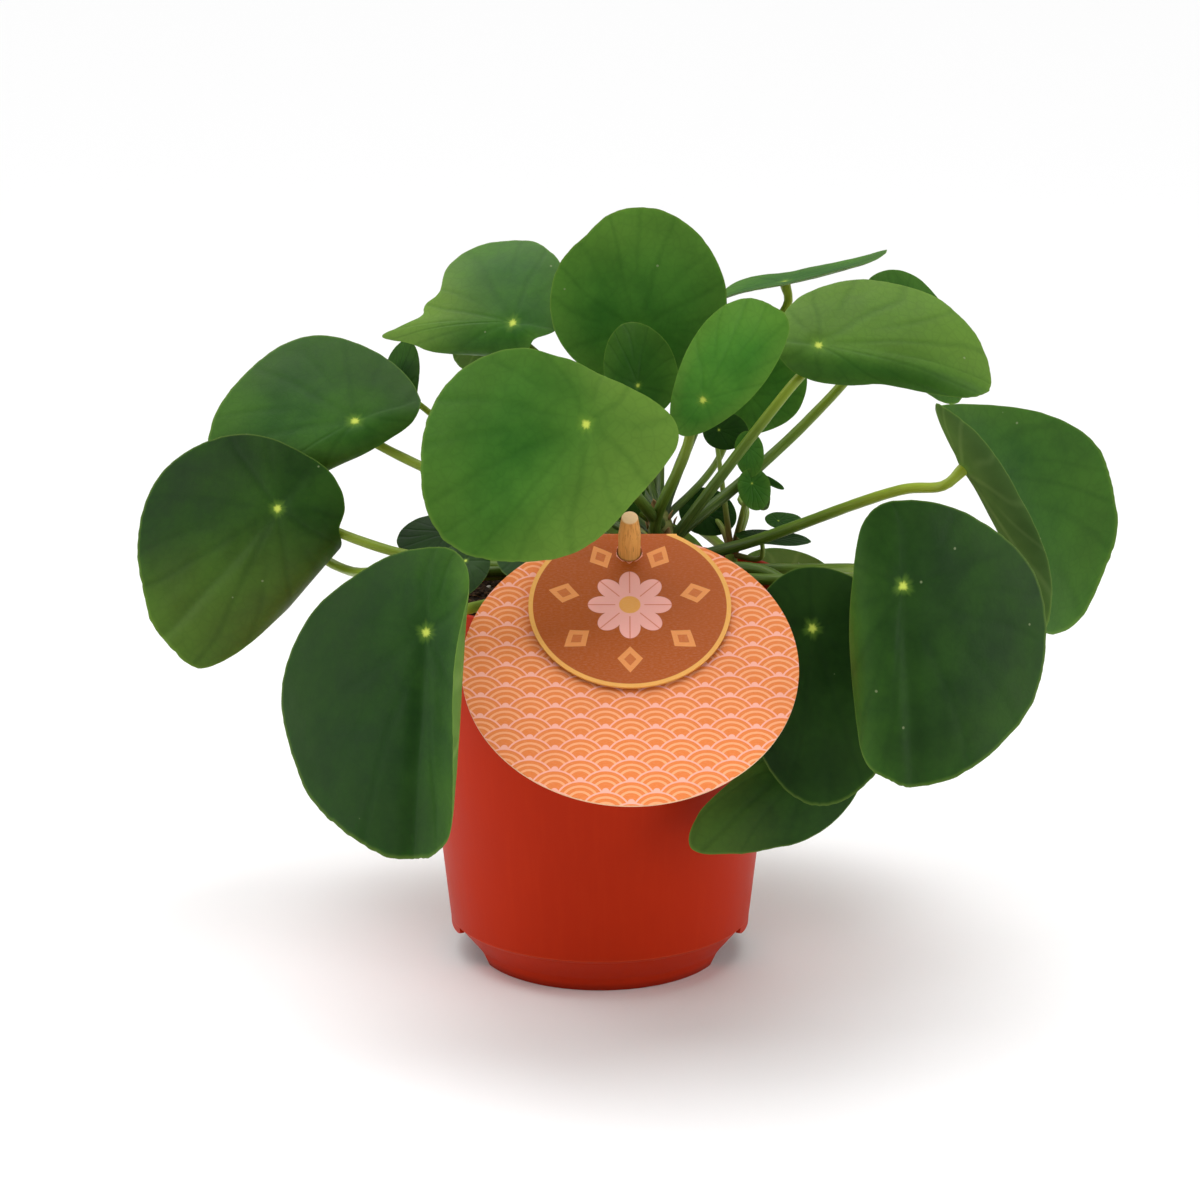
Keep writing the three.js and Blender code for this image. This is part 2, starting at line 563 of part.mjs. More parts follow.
// The soil's uneven top, as a height at a place: a low mound with lumps of three widths.
function soilTop(x, y) {
  const fine = Math.cos(x * 0.47 + y * 0.41);
  const middling = Math.sin(x * 0.31 + 1) * Math.cos(y * 0.27);
  const broad = Math.sin(x * 0.13 - y * 0.19);
  const mound = SOIL.mound * (1 - (x ** 2 + y ** 2) / RIM_RADIUS ** 2);
  return SOIL.level + mound + SOIL.lump * (fine + middling + broad);
}

function soil(holes) {
  const { sides, rings, edgeGap } = SOIL;
  const floor = SHOULDER_HEIGHT + WALL + CLEARANCE;
  const wall = (height) => wallRadius(height) - WALL - CLEARANCE;
  const circle = (radius, heightAt) =>
    Array.from({ length: sides }, (_, k) => {
      const turn = (2 * Math.PI * k) / sides;
      const [x, y] = [radius * Math.cos(turn), radius * Math.sin(turn)];
      return new THREE.Vector3(x, y, heightAt(x, y));
    });
  const topRadius = wall(SOIL.level) - edgeGap;
  const corner = floor + INNER_CORNER;
  const circles = Array.from({ length: rings }, (_, i) => circle((topRadius * (i + 1)) / rings, soilTop));
  circles.push(circle(wall(corner) - edgeGap, () => corner));
  circles.push(circle(wall(floor) - INNER_CORNER - edgeGap, () => floor));
  const points = [new THREE.Vector3(0, 0, soilTop(0, 0)), ...circles.flat(), new THREE.Vector3(0, 0, floor)];
  const triangles = [];
  const last = circles.length - 1;
  for (let k = 0; k < sides; k++) {
    const next = (k + 1) % sides;
    triangles.push([0, 1 + k, 1 + next]);
    for (let ring = 0; ring < last; ring++) {
      const a = 1 + ring * sides + k;
      const b = 1 + ring * sides + next;
      triangles.push([a, a + sides, b + sides], [a, b + sides, b]);
    }
    triangles.push([points.length - 1, 1 + last * sides + next, 1 + last * sides + k]);
  }
  return fromSolid(toSolid(surface(points, triangles)).subtract(union(holes)));
}

// ---------------------------------------------------------------- the plant in its pot

function piece(name, geometry, color, roughness) {
  const mesh = new THREE.Mesh(geometry, new THREE.MeshStandardMaterial({ color, roughness, metalness: 0 }));
  mesh.name = name;
  return mesh;
}

const holes = [stem(CLEARANCE), offsetStem(CLEARANCE), toSolid(stick(CLEARANCE))];
const plant = new THREE.Group();
plant.add(piece("pot", pot(), COLOUR.pot, 0.45));
plant.add(piece("soil", soil(holes), COLOUR.soil, 1));
plant.add(piece("stem_and_stalks", stemAndStalks(), COLOUR.stalk, 0.5));
for (const leaf of LEAVES) {
  plant.add(piece(leaf.name, blade(leaf), COLOUR.blade, 0.4));
}
plant.add(piece("offset_plant", offsetPlant(), COLOUR.offset, 0.45));
plant.add(piece("card", card(), COLOUR.card, 0.6));
plant.add(piece("stick", stick(), COLOUR.stick, 0.7));

export default plant;
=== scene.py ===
# %% [markdown]
# # A potted Chinese money plant
# A young pilea in its nursery pot, with a folded card held over the rim by a wooden stick. This lesson dresses
# a plain CAD model of it: the frame below. Each piece is made again at the same place with a finer surface,
# and gets a material built from nodes. All sizes are in metres, with +Z up and the photograph's side at -Y.

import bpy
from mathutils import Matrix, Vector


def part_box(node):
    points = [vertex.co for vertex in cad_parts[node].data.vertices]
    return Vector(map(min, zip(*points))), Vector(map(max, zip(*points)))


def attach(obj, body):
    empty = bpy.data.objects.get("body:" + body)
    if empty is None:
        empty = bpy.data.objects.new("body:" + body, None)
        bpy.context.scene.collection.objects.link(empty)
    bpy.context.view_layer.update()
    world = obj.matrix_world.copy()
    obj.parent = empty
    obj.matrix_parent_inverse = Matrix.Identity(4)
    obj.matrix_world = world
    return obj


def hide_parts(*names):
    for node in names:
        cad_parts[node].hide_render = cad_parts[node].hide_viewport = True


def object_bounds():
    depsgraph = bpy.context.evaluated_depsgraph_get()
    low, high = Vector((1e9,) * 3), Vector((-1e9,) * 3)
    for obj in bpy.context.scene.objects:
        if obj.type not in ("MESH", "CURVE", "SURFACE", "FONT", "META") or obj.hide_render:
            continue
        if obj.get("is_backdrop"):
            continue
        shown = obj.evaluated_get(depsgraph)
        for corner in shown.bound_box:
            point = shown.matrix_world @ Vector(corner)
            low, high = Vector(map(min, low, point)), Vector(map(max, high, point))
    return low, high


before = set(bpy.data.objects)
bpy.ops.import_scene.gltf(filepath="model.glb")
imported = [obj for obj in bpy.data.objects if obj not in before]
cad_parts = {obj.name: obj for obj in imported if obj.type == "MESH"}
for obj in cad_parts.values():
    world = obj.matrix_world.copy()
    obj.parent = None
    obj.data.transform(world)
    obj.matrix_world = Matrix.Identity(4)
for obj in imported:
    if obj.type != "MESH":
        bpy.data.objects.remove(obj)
cad_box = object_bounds()
print("CAD nodes:", len(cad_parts), "box:", [[round(c, 4) for c in corner] for corner in cad_box])

# %% [markdown]
# ## Tools for node trees
# Most of this plant follows rules, so most of it is made by Geometry Nodes and shader nodes. A tree is easier
# to read when its sums look like sums. A Flow is one number or vector on its way through a tree, and writing
# `a * b + c` with Flows adds the Math nodes that do it. The same small class serves both kinds of tree.

# %% A node, and sums that add nodes
import math

import bmesh
import bpy
from mathutils import Matrix, Vector

TAU = 2 * math.pi


def add(tree, kind, feeds=None, **settings):
    """Adds a node. Settings go on the node, and feeds gives its inputs a value or another node's output."""
    node = tree.nodes.new(kind)
    for name, value in settings.items():
        setattr(node, name, value)
    for key, value in (feeds or {}).items():
        value = getattr(value, "socket", value)
        if isinstance(value, bpy.types.NodeSocket):
            tree.links.new(value, node.inputs[key])
        else:
            node.inputs[key].default_value = value
    return node


class Flow:
    """A number, vector or colour in a node tree. Sums on it add the nodes that do them."""

    def __init__(self, tree, socket):
        self.tree = tree
        self.socket = socket

    def do(self, operation, *others, out=0):
        kind = "ShaderNodeVectorMath" if self.socket.type == "VECTOR" else "ShaderNodeMath"
        return flow(self.tree, kind, dict(enumerate((self, *others))), out, operation=operation)

    def __add__(self, other):
        return self.do("ADD", other)

    def __sub__(self, other):
        return self.do("SUBTRACT", other)

    def __mul__(self, other):
        if self.socket.type != "VECTOR":
            return self.do("MULTIPLY", other)
        return flow(self.tree, "ShaderNodeVectorMath", {0: self, "Scale": other}, operation="SCALE")

    def __truediv__(self, other):
        return self.do("DIVIDE", other)

    def __pow__(self, other):
        return self.do("POWER", other)

    def __rsub__(self, other):
        return self * -1.0 + other

    __radd__ = __add__
    __rmul__ = __mul__


def flow(tree, kind, feeds=None, out=0, **settings):
    """Adds a node and returns one of its outputs, by its number or name, as a Flow."""
    return Flow(tree, add(tree, kind, feeds, **settings).outputs[out])


def parts_of(vector):
    """The x, y and z of a vector Flow."""
    node = add(vector.tree, "ShaderNodeSeparateXYZ", {0: vector})
    return [Flow(vector.tree, socket) for socket in node.outputs]


def vector_of(tree, x, y, z=0.0):
    return flow(tree, "ShaderNodeCombineXYZ", {0: x, 1: y, 2: z})


def level(vector):
    """A vector without its z."""
    return vector.do("MULTIPLY", (1.0, 1.0, 0.0))


def soft_step(value, start, end, low=0.0, high=1.0):
    """Goes smoothly from low to high while the value goes from start to end."""
    feeds = {0: value, 1: start, 2: end, 3: low, 4: high}
    return flow(value.tree, "ShaderNodeMapRange", feeds, interpolation_type="SMOOTHSTEP")


def noise(vector, scale, detail=2.0, roughness=0.5):
    """Soft noise from 0 to 1 at that scale, about 0.5."""
    feeds = {"Vector": vector, "Scale": scale, "Detail": detail, "Roughness": roughness}
    return flow(vector.tree, "ShaderNodeTexNoise", feeds)


# %% [markdown]
# A node group has named inputs and outputs, so it can be used again with other values. Their kinds follow from
# the values that they start with: a float, a whole number, a vector, a shape or a material. A geometry group
# is run by a modifier on a helper object. What it makes is copied to a plain mesh, and the helper goes.

# %% Node groups, and shapes grown by them
SHAPE = "a shape"
SOCKET_KINDS = {float: "Float", int: "Int", tuple: "Vector", str: "Geometry"}  # anything else is a material
SEAM = 0.000002  # points closer than this are one


def new_group(name, takes, gives):
    """A geometry group: its tree, its inputs as Flows, and the node that its results go to."""
    tree = bpy.data.node_groups.new(name, "GeometryNodeTree")
    for in_out, sockets in (("INPUT", takes), ("OUTPUT", gives)):
        for label, value in sockets.items():
            socket_type = "NodeSocket" + SOCKET_KINDS.get(type(value), "Material")
            item = tree.interface.new_socket(label, in_out=in_out, socket_type=socket_type)
            if value is not SHAPE:
                item.default_value = value
    given = tree.nodes.new("NodeGroupInput")
    result = tree.nodes.new("NodeGroupOutput")
    return tree, {label: Flow(tree, given.outputs[label]) for label in takes}, result


def use(tree, group, **values):
    """Places a group in a tree and returns its outputs by name. An underscore in a value's name is a space."""
    node = add(tree, "GeometryNodeGroup", node_tree=group)
    for label, value in values.items():
        value = getattr(value, "socket", value)
        socket = node.inputs[label.replace("_", " ")]
        if isinstance(value, bpy.types.NodeSocket):
            tree.links.new(value, socket)
        else:
            socket.default_value = value
    return {socket.name: Flow(tree, socket) for socket in node.outputs}


def feed(node, **values):
    """Links Flows to a node's inputs by name. An underscore in a name is a space."""
    for label, value in values.items():
        value.tree.links.new(value.socket, node.inputs[label.replace("_", " ")])


def keep(shape, label, value, kind="FLOAT"):
    """Stores a value on every point of a shape, under a name that materials can read."""
    feeds = {"Geometry": shape, "Name": label, "Value": value}
    return flow(shape.tree, "GeometryNodeStoreNamedAttribute", feeds, data_type=kind, domain="POINT")


def move(shape, offset):
    """A shape with its points moved by the offset."""
    return flow(shape.tree, "GeometryNodeSetPosition", {"Geometry": shape, "Offset": offset})


def point_place(tree):
    """Where each point is."""
    return flow(tree, "GeometryNodeInputPosition")


def point_normal(tree):
    """Which way the surface faces at each point."""
    return flow(tree, "GeometryNodeInputNormal")


def kept(tree, label, kind="FLOAT"):
    """What keep stored on each point under that name."""
    return flow(tree, "GeometryNodeInputNamedAttribute", {"Name": label}, data_type=kind)


def weld(shape):
    """A shape whose points that lie at one place have become one."""
    return flow(shape.tree, "GeometryNodeMergeByDistance", {"Geometry": shape, "Distance": SEAM})


def join(*shapes):
    node = add(shapes[0].tree, "GeometryNodeJoinGeometry")
    for shape in reversed(shapes):
        shape.tree.links.new(shape.socket, node.inputs[0])
    return Flow(shapes[0].tree, node.outputs[0])


def strew(points, one, rotation, size):
    """The mesh of one object, set on every point with a rotation and a size."""
    tree = rotation.tree
    mesh = flow(tree, "GeometryNodeObjectInfo", {"Object": one}, out="Geometry")
    feeds = {"Points": Flow(tree, points), "Instance": mesh, "Rotation": rotation, "Scale": size}
    return flow(tree, "GeometryNodeInstanceOnPoints", feeds)


def finished(shape, result, material):
    """The end of every geometry tree here: smooth faces, real ones in place of instances, and a material."""
    smooth = add(shape.tree, "GeometryNodeSetShadeSmooth", {"Geometry": shape})
    real = add(shape.tree, "GeometryNodeRealizeInstances", {"Geometry": smooth.outputs[0]})
    painted = add(shape.tree, "GeometryNodeSetMaterial", {"Geometry": real.outputs[0], "Material": material})
    shape.tree.links.new(painted.outputs[0], result.inputs[0])


def as_mesh(name, shape, closed=True):
    """A drawn shape as a mesh. The faces of a closed one are turned to face out."""
    if closed:
        bmesh.ops.recalc_face_normals(shape, faces=shape.faces[:])
    mesh = bpy.data.meshes.new(name)
    shape.to_mesh(mesh)
    shape.free()
    return mesh


def polar(radius, angle):
    """The x and y of a point at that distance from the Z axis and at that angle from +X."""
    return radius * math.cos(angle), radius * math.sin(angle)


def skin(shape, rings):
    """Joins each ring of points to the next one with faces, and closes the first and the last ring."""
    for near, far in zip(rings, rings[1:]):
        for k in range(len(near)):
            after = (k + 1) % len(near)
            shape.faces.new((near[k], near[after], far[after], far[k]))
    shape.faces.new(rings[0])
    shape.faces.new(rings[-1])


def shade(mesh, sharp_from):
    """Shades a mesh smooth, but leaves its edges sharp where they turn by more than that angle."""
    mesh.shade_smooth()
    mesh.set_sharp_from_angle(angle=sharp_from)


def place(name, data):
    """A mesh, a light or a camera as an object of the scene, at the origin."""
    piece = bpy.data.objects.new(name, data)
    bpy.context.scene.collection.objects.link(piece)
    return piece


def grow(name, tree, values, start=None):
    """Runs a geometry tree with those inputs, on a start shape if it needs one, and keeps the plain mesh."""
    helper = place(name + ".helper", start or bpy.data.meshes.new(name + ".start"))
    modifier = helper.modifiers.new("grow", "NODES")
    modifier.node_group = tree
    for item in tree.interface.items_tree:
        if item.name in values:
            modifier[item.identifier] = values[item.name]
    evaluated = helper.evaluated_get(bpy.context.evaluated_depsgraph_get())
    mesh = bpy.data.meshes.new_from_object(evaluated)
    bpy.data.objects.remove(helper)
    mesh.name = name
    return place(name, mesh)


def settle(piece, slot, *nodes):
    """Rides the piece on the plant's one body and hides the CAD nodes that it stands for. Its slot is not used."""
    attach(piece, "root")
    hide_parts(*nodes)


# %% [markdown]
# ## Tools for materials
# Colours are picked as they look on a screen, from 0 to 255, while a shader works in linear light, so one
# helper converts them. Every material is one Principled BSDF. What changes over the surface is linked to it,
# and a value that is the same all over is set on its own socket.

# %% Colours and materials
def screen(red, green, blue):
    """A screen colour as the linear colour that shaders take."""
    linear = [((c / 255 + 0.055) / 1.055) ** 2.4 if c > 10 else c / 255 / 12.92 for c in (red, green, blue)]
    return (*linear, 1.0)


def blend(factor, first, second, how="MIX"):
    """Mixes two colours by a factor Flow."""
    feeds = {0: factor, 6: first, 7: second}
    return flow(factor.tree, "ShaderNodeMix", feeds, 2, data_type="RGBA", blend_type=how)


def attribute(tree, label, kind="Fac"):
    """What a geometry tree stored on the piece under that name, as a number or a vector."""
    return flow(tree, "ShaderNodeAttribute", attribute_name=label, out=kind)


def object_spot(tree):
    """Where a point of the surface is, in metres."""
    return flow(tree, "ShaderNodeTexCoord", out="Object")


def bump(height, depth, strength=1.0):
    """A surface normal that looks as if the surface rose by the depth, in metres, where height is 1."""
    feeds = {"Height": height, "Distance": depth, "Strength": strength}
    return flow(height.tree, "ShaderNodeBump", feeds)


def new_material(name, **constants):
    """A material with its Principled BSDF, whose constant inputs are set on it. Returns both and the tree."""
    material = bpy.data.materials.new(name)
    material.use_nodes = True
    shader = material.node_tree.nodes["Principled BSDF"]
    for label, value in constants.items():
        shader.inputs[label.replace("_", " ")].default_value = value
    return material, shader, material.node_tree


# %% [markdown]
# ## Studio
# The photograph was taken on white with a broad light from above and soft boxes at the left and the right, in
# an otherwise dim room: dark leaves stay dark, and only those that face up catch a sheen. A sun lamp with a
# very wide disc gives the broad light and keeps the floor evenly white up to the horizon. The camera stands
# 0.8 m in front of the pot and looks down at it by 13.6 degrees with a long lens, which was worked out from
# the ellipses of the pot's foot and the card.

# %% Camera
CAMERA_PLACE = (0.0, -0.8, 0.308)
CAMERA_PITCH = 13.64  # degrees below the horizon
CAMERA_LENS = 79.44  # millimetres, as is the film's width
FILM_WIDTH = 36.0
NEAREST = 0.05  # what is nearer to the camera isn't drawn

camera = place("camera", bpy.data.cameras.new("camera"))
camera.location = CAMERA_PLACE
camera.rotation_euler = (math.radians(90 - CAMERA_PITCH), 0, 0)
camera.data.lens = CAMERA_LENS
camera.data.sensor_width = FILM_WIDTH
camera.data.clip_start = NEAREST
bpy.context.scene.camera = camera
bpy.context.scene.view_settings.view_transform = "Standard"
print("camera at", CAMERA_PLACE, "lens", CAMERA_LENS)

# %% Floor and lights
FLOOR_HALF = 100.0
FLOOR_WHITE = 0.93
SOFT_BOXES = {  # place, the point it faces, its width and height, its power in watts
    "left": ((-1.1, -0.4, 0.55), (0.0, 0.0, 0.1), (0.7, 0.9), 5.0),
    "right": ((1.1, -0.4, 0.5), (0.0, 0.0, 0.1), (0.7, 0.9), 5.6),
    "front": ((0.1, -1.6, 1.3), (0.0, 0.0, 0.12), (1.0, 0.7), 0.8),
}
OVERHEAD_STRENGTH = 2.7
OVERHEAD_DISC = 70.0  # degrees across
OVERHEAD_TILT = (12.0, -8.0)  # degrees from straight above, towards the back and the left
ROOM_LIGHT = 0.26


def studio_floor():
    sheet = bmesh.new()
    bmesh.ops.create_grid(sheet, x_segments=1, y_segments=1, size=FLOOR_HALF)
    floor = place("studio_floor", as_mesh("studio_floor", sheet, closed=False))
    white = new_material("studio_white", Base_Color=(FLOOR_WHITE, FLOOR_WHITE, FLOOR_WHITE, 1), Roughness=0.9)[0]
    floor.data.materials.append(white)
    return floor


def lamp(name, kind, power, **settings):
    """A light as an object of the scene, with its power and its other settings."""
    light = bpy.data.lights.new(name, kind)
    light.energy = power
    for label, value in settings.items():
        setattr(light, label, value)
    return place(name, light)


studio_floor()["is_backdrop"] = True
overhead = lamp("overhead", "SUN", OVERHEAD_STRENGTH, angle=math.radians(OVERHEAD_DISC))
overhead.rotation_euler = (math.radians(-OVERHEAD_TILT[0]), math.radians(OVERHEAD_TILT[1]), 0)
for name, (location, target, (width, height), power) in SOFT_BOXES.items():
    box = lamp("soft_box_" + name, "AREA", power, shape="RECTANGLE", size=width, size_y=height)
    box.location = location
    box.rotation_euler = (Vector(target) - Vector(location)).to_track_quat("-Z", "Y").to_euler()
room = bpy.data.worlds.new("studio_room")
room.use_nodes = True
sky = room.node_tree.nodes["Background"].inputs
sky["Color"].default_value = (1, 1, 1, 1)
sky["Strength"].default_value = ROOM_LIGHT
bpy.context.scene.world = room
print("lights: overhead,", ", ".join(SOFT_BOXES))

# %% [markdown]
# ## The blades: shape
# A pilea's blade is a shield: a round, slightly fleshy plate that hangs on a stalk from a point near its
# middle. No two are alike, but all follow one rule, so one geometry tree makes them all. It starts as a flat
# grid that is rolled up into a disc around the stalk's point, and each half, the tip and the back then bend
# by their own amount, evenly or mostly at the margin. The bend has to keep the blade's width, as a real one
# can't stretch, so it is added up in small steps along the strip: that is what the repeat zone below does.

# %% A strip that bends and keeps its length
BEND_STEPS = 10

bent_strip, flat, end = new_group(
    "bent strip", {"Place": 0.0, "Reach": 1.0, "Turn": 0.0, "Late": 1.0}, {"Along": 0.0, "Up": 0.0}
)
first = add(bent_strip, "GeometryNodeRepeatInput")
last = add(bent_strip, "GeometryNodeRepeatOutput")
first.pair_with_output(last)
last.repeat_items.clear()
for label in ("Along", "Up"):
    last.repeat_items.new("FLOAT", label)
first.inputs["Iterations"].default_value = BEND_STEPS
step = flat["Place"].do("ABSOLUTE") * (1 / BEND_STEPS)
travelled = (Flow(bent_strip, first.outputs["Iteration"]) + 0.5) * step
slope = (travelled / flat["Reach"]) ** flat["Late"] * flat["Turn"]
feed(last, Along=Flow(bent_strip, first.outputs["Along"]) + slope.do("COSINE") * step)
feed(last, Up=Flow(bent_strip, first.outputs["Up"]) + slope.do("SINE") * step)
feed(end, Along=Flow(bent_strip, last.outputs["Along"]) * flat["Place"].do("SIGN"))
feed(end, Up=Flow(bent_strip, last.outputs["Up"]))
print("bent strip:", BEND_STEPS, "steps")

# %% [markdown]
# The veins of a pilea fan out from the stalk's point and fork before the margin. They show twice: as shallow
# valleys in the mesh and as darker lines in the material. One function adds the same nodes to either tree.
# It works on the disc's own coordinates, from the middle (0) to the margin (1).

# %% Veins that fan out
MAIN_VEINS = 7


def fan_of_veins(disc, seed, width):
    """1 on the veins and 0 between them, for a disc whose margin is at length 1."""
    sway = noise(disc + vector_of(disc.tree, seed, seed, seed), 1.2, 1.0)
    x, y, _ = parts_of(disc)
    share = disc.do("LENGTH", out=1)
    angle = y.do("ARCTAN2", x) + (sway - 0.5) * 0.7 * share
    lines = []
    for count, shift in ((MAIN_VEINS, 0.5), (2 * MAIN_VEINS, 0.0)):
        phase = (angle * (count / TAU) + shift + 100.0).do("FRACT")
        away = ((phase * 2.0 - 1.0).do("ABSOLUTE") * -1.0 + 1.0) * share * (MAIN_VEINS / count)
        lines.append(soft_step(away, 0.0, width, 1.0, 0.0))
    main, fork = lines
    return main.do("MAXIMUM", fork * soft_step(share, 0.3, 0.6) * 0.8)


# %% [markdown]
# The blade's tree takes where the blade hangs, which way it faces and which way its tip points, its length and
# the widths of its two halves, and the four bends. The rest is what makes it alive: an uneven margin, soft
# pillows between the veins, and a small dimple over the stalk. The underside is a copy, turned over and set
# back by the thickness, which runs out to nothing at the margin.

# %% The blade's tree
BLADE_RINGS = 26
BLADE_SPOKES = 208
BLADE_THICKNESS = 0.0006
MOST_LOBES = 6
LOBE_BREADTH = 20.0  # degrees
CREASE_BREADTH = 0.0026
FINE_BUMPS, BROAD_BUMPS = 0.018, 0.02  # of the margin, as shares of its reach
MARGIN_WAVES = 5.0  # round the whole margin
MARGIN_WAVE_HEIGHT = 0.0005 / 0.07  # for each metre of the blade's length
PILLOW_HEIGHTS = (0.001, 0.0003)  # of the broad and of the fine pillows
VEIN_DEPTH = 0.00005
DIMPLE_DEPTH = 0.0006
DIMPLE_RADIUS = 0.006
SPOT_FOR_LENGTH = 0.06  # a blade of this length or more has a full-sized spot
BLADE_INPUTS = {
    "At": (0.0, 0.0, 0.0), "Face": (0.0, -1.0, 0.0), "Long": (0.0, 0.0, -1.0),
    "Length": 0.07, "Left Half": 0.03, "Right Half": 0.03, "Seat": 0.3, "Egg": 0.08, "Lean": 0.0,
    "Left Turn": 0.0, "Left Late": 1.0, "Right Turn": 0.0, "Right Late": 1.0,
    "End Turn": 0.0, "End Late": 1.0, "Back Turn": 0.0, "Back Late": 1.0,
    "Ripple Phase": 0.0, "Thickness": BLADE_THICKNESS, "Uneven": 1.0, "Crease": 0.0, "Tint": 0.5, "Seed": 0.0,
    "Deep": (0.0, 0.0, 0.0), "Pale": (0.0, 0.0, 0.0),
    "Rings": BLADE_RINGS, "Spokes": BLADE_SPOKES,
    **{f"Lobe {number + 1}": (0.0, 0.0, LOBE_BREADTH) for number in range(MOST_LOBES)},
}


def lobed(angle, lobes):
    """How far the margin reaches at an angle, as a share: more where a lobe stands out and less at a hollow."""
    reach = 1.0
    for lobe in lobes:
        middle, size, breadth = parts_of(lobe)
        away = ((angle * (1 / TAU) - middle / 360.0 + 1.5).do("FRACT") - 0.5) * 360.0 / breadth
        reach = reach + (away * away * -1.0).do("EXPONENT") * size
    return reach


def one_side(disc, side):
    """Rises over a blade towards the side at an angle. It reaches an amount, and half of it at the middle."""
    angle, amount, middle = parts_of(side)
    x, y, _ = parts_of(disc)
    angle = angle * (TAU / 360)
    towards = x * angle.do("COSINE") + y * angle.do("SINE")
    return soft_step(towards - middle, -0.5, 0.5) * amount


def blade_tree(material):
    tree, given, result = new_group(
        "blade", {**BLADE_INPUTS, "Finish": material}, {"Blade": SHAPE}
    )
    # the flat disc: x of the grid goes round it, and y from its middle to its margin
    size = {"Size X": 1.0, "Size Y": 1.0, "Vertices X": given["Spokes"] + 1.0, "Vertices Y": given["Rings"] + 1.0}
    grid = flow(tree, "GeometryNodeMeshGrid", size)
    x, y, _ = parts_of(point_place(tree))
    angle = (x + 0.5) * TAU
    share = ((y + 0.5) * (TAU / 4)).do("SINE")
    sine, cosine = angle.do("SINE"), angle.do("COSINE")
    rim = vector_of(tree, cosine, sine, given["Seed"])
    bumps = (noise(rim, given["Length"] * 150.0, 1.0) - 0.5) * FINE_BUMPS + (noise(rim, 1.5) - 0.5) * BROAD_BUMPS
    reach = share * (bumps * given["Uneven"] * share ** 4.0 + 1.0)
    reach = reach * lobed(angle, [given[label] for label in given if label.startswith("Lobe")])
    # the outline: egg-shaped, hung nearer to one end, one half wider than the other
    width = cosine * given["Egg"] * -1.0 + 1.0
    right = sine.do("GREATER_THAN", 0.0)
    half = right * (given["Right Half"] - given["Left Half"]) + given["Left Half"]
    u = (given["Length"] * (cosine * 0.5 + 0.5 - given["Seat"]) + given["Lean"] * sine) * reach
    v = half * sine * width * reach
    # the four bends
    ahead = u.do("GREATER_THAN", 0.0)

    def either(which, yes, no):
        return which * (given[yes] - given[no]) + given[no]

    far = given["Length"] * (given["Seat"] * -1.0 + 1.0)
    near = given["Length"] * given["Seat"]
    lengthways = use(
        tree, bent_strip, Place=u, Reach=ahead * (far - near) + near,
        Turn=either(ahead, "End Turn", "Back Turn"), Late=either(ahead, "End Late", "Back Late"),
    )
    sideways = use(
        tree, bent_strip, Place=v, Reach=half,
        Turn=either(right, "Right Turn", "Left Turn"), Late=either(right, "Right Late", "Left Late"),
    )
    # what rises and sinks: a wave at the margin, pillows, valleys along the veins and the dimple
    disc = vector_of(tree, share * cosine, share * sine)
    sheet = vector_of(tree, u, v, given["Seed"])
    ripple = (angle * MARGIN_WAVES + given["Ripple Phase"]).do("SINE") * share ** 4.0
    ripple = ripple * given["Length"] * MARGIN_WAVE_HEIGHT
    broad, fine = PILLOW_HEIGHTS
    pillows = (noise(sheet, 42.0) - 0.5) * broad + (noise(sheet, 150.0, 1.0) - 0.5) * fine
    pillows = pillows * soft_step(share, 0.0, 0.15)
    valleys = fan_of_veins(disc, given["Seed"], 0.16) * soft_step(share, 0.03, 0.2) * -VEIN_DEPTH
    dimple = soft_step(level(sheet).do("LENGTH", out=1), 0.0, DIMPLE_RADIUS, -DIMPLE_DEPTH, 0.0)
    across = v / CREASE_BREADTH
    crease = (across * across * -1.0).do("EXPONENT") * soft_step(u, 0.0, 0.012) * given["Crease"]
    height = lengthways["Up"] + sideways["Up"] + ripple + pillows * given["Uneven"] + valleys + dimple - crease
    wide = given["Face"].do("CROSS_PRODUCT", given["Long"])
    spot = given["At"] + given["Long"] * lengthways["Along"] + wide * sideways["Along"] + given["Face"] * height
    raised = keep(grid, "disc", disc, "FLOAT_VECTOR")
    raised = keep(raised, "sheet", sheet, "FLOAT_VECTOR")
    raised = keep(raised, "tint", given["Tint"])
    # the sides painted darker and lighter: painted shade and painted light for how the blade faces the light
    raised = keep(raised, "deep", one_side(disc, given["Deep"]))
    raised = keep(raised, "pale", one_side(disc, given["Pale"]))
    raised = keep(raised, "spot", (given["Length"] * (1 / SPOT_FOR_LENGTH)).do("MINIMUM", 1.0))
    raised = weld(flow(tree, "GeometryNodeSetPosition", {"Geometry": raised, "Position": spot}))
    # the rolled-up grid faces down, so the upper side is turned over and the lower side is the one that moves
    upper = flow(tree, "GeometryNodeFlipFaces", {"Mesh": raised})
    margin = kept(tree, "disc", "FLOAT_VECTOR").do("LENGTH", out=1)
    thickness = (1.0 - margin ** 6.0).do("MAXIMUM", 0.0) ** 0.5 * given["Thickness"]
    normal = point_normal(tree)
    lower = move(raised, normal * thickness)
    blade = weld(join(keep(upper, "underside", 0.0), keep(lower, "underside", 1.0)))
    finished(blade, result, given["Finish"])
    return tree


print("blade inputs:", len(BLADE_INPUTS))

# %% [markdown]
# ## The blades: finish
# The upper side is a deep satin green, a little lighter in young blades. Faint dark veins and fine cells show
# in it, a few pale specks lie on it, the margin is a thin paler line, a painted light as if light shone through
# the edge from behind, and a yellow-green spot marks the stalk. A side of a blade that faces away from the light
# is painted darker, a painted shade, and a side that faces it may be painted lighter, a painted light.
# The underside is paler and duller. Blades are thin enough to glow a little with light from behind, which a
# little subsurface scattering gives. Every pattern reads what the tree stored on the blade, so it follows
# the blade round its bends.

# %% The blade's material
# painted shade: what a blade's green is multiplied by where it faces away from the light
DEEPER = (0.3, 0.36, 0.42, 1.0)  # what a blade's green is multiplied by on its deep side


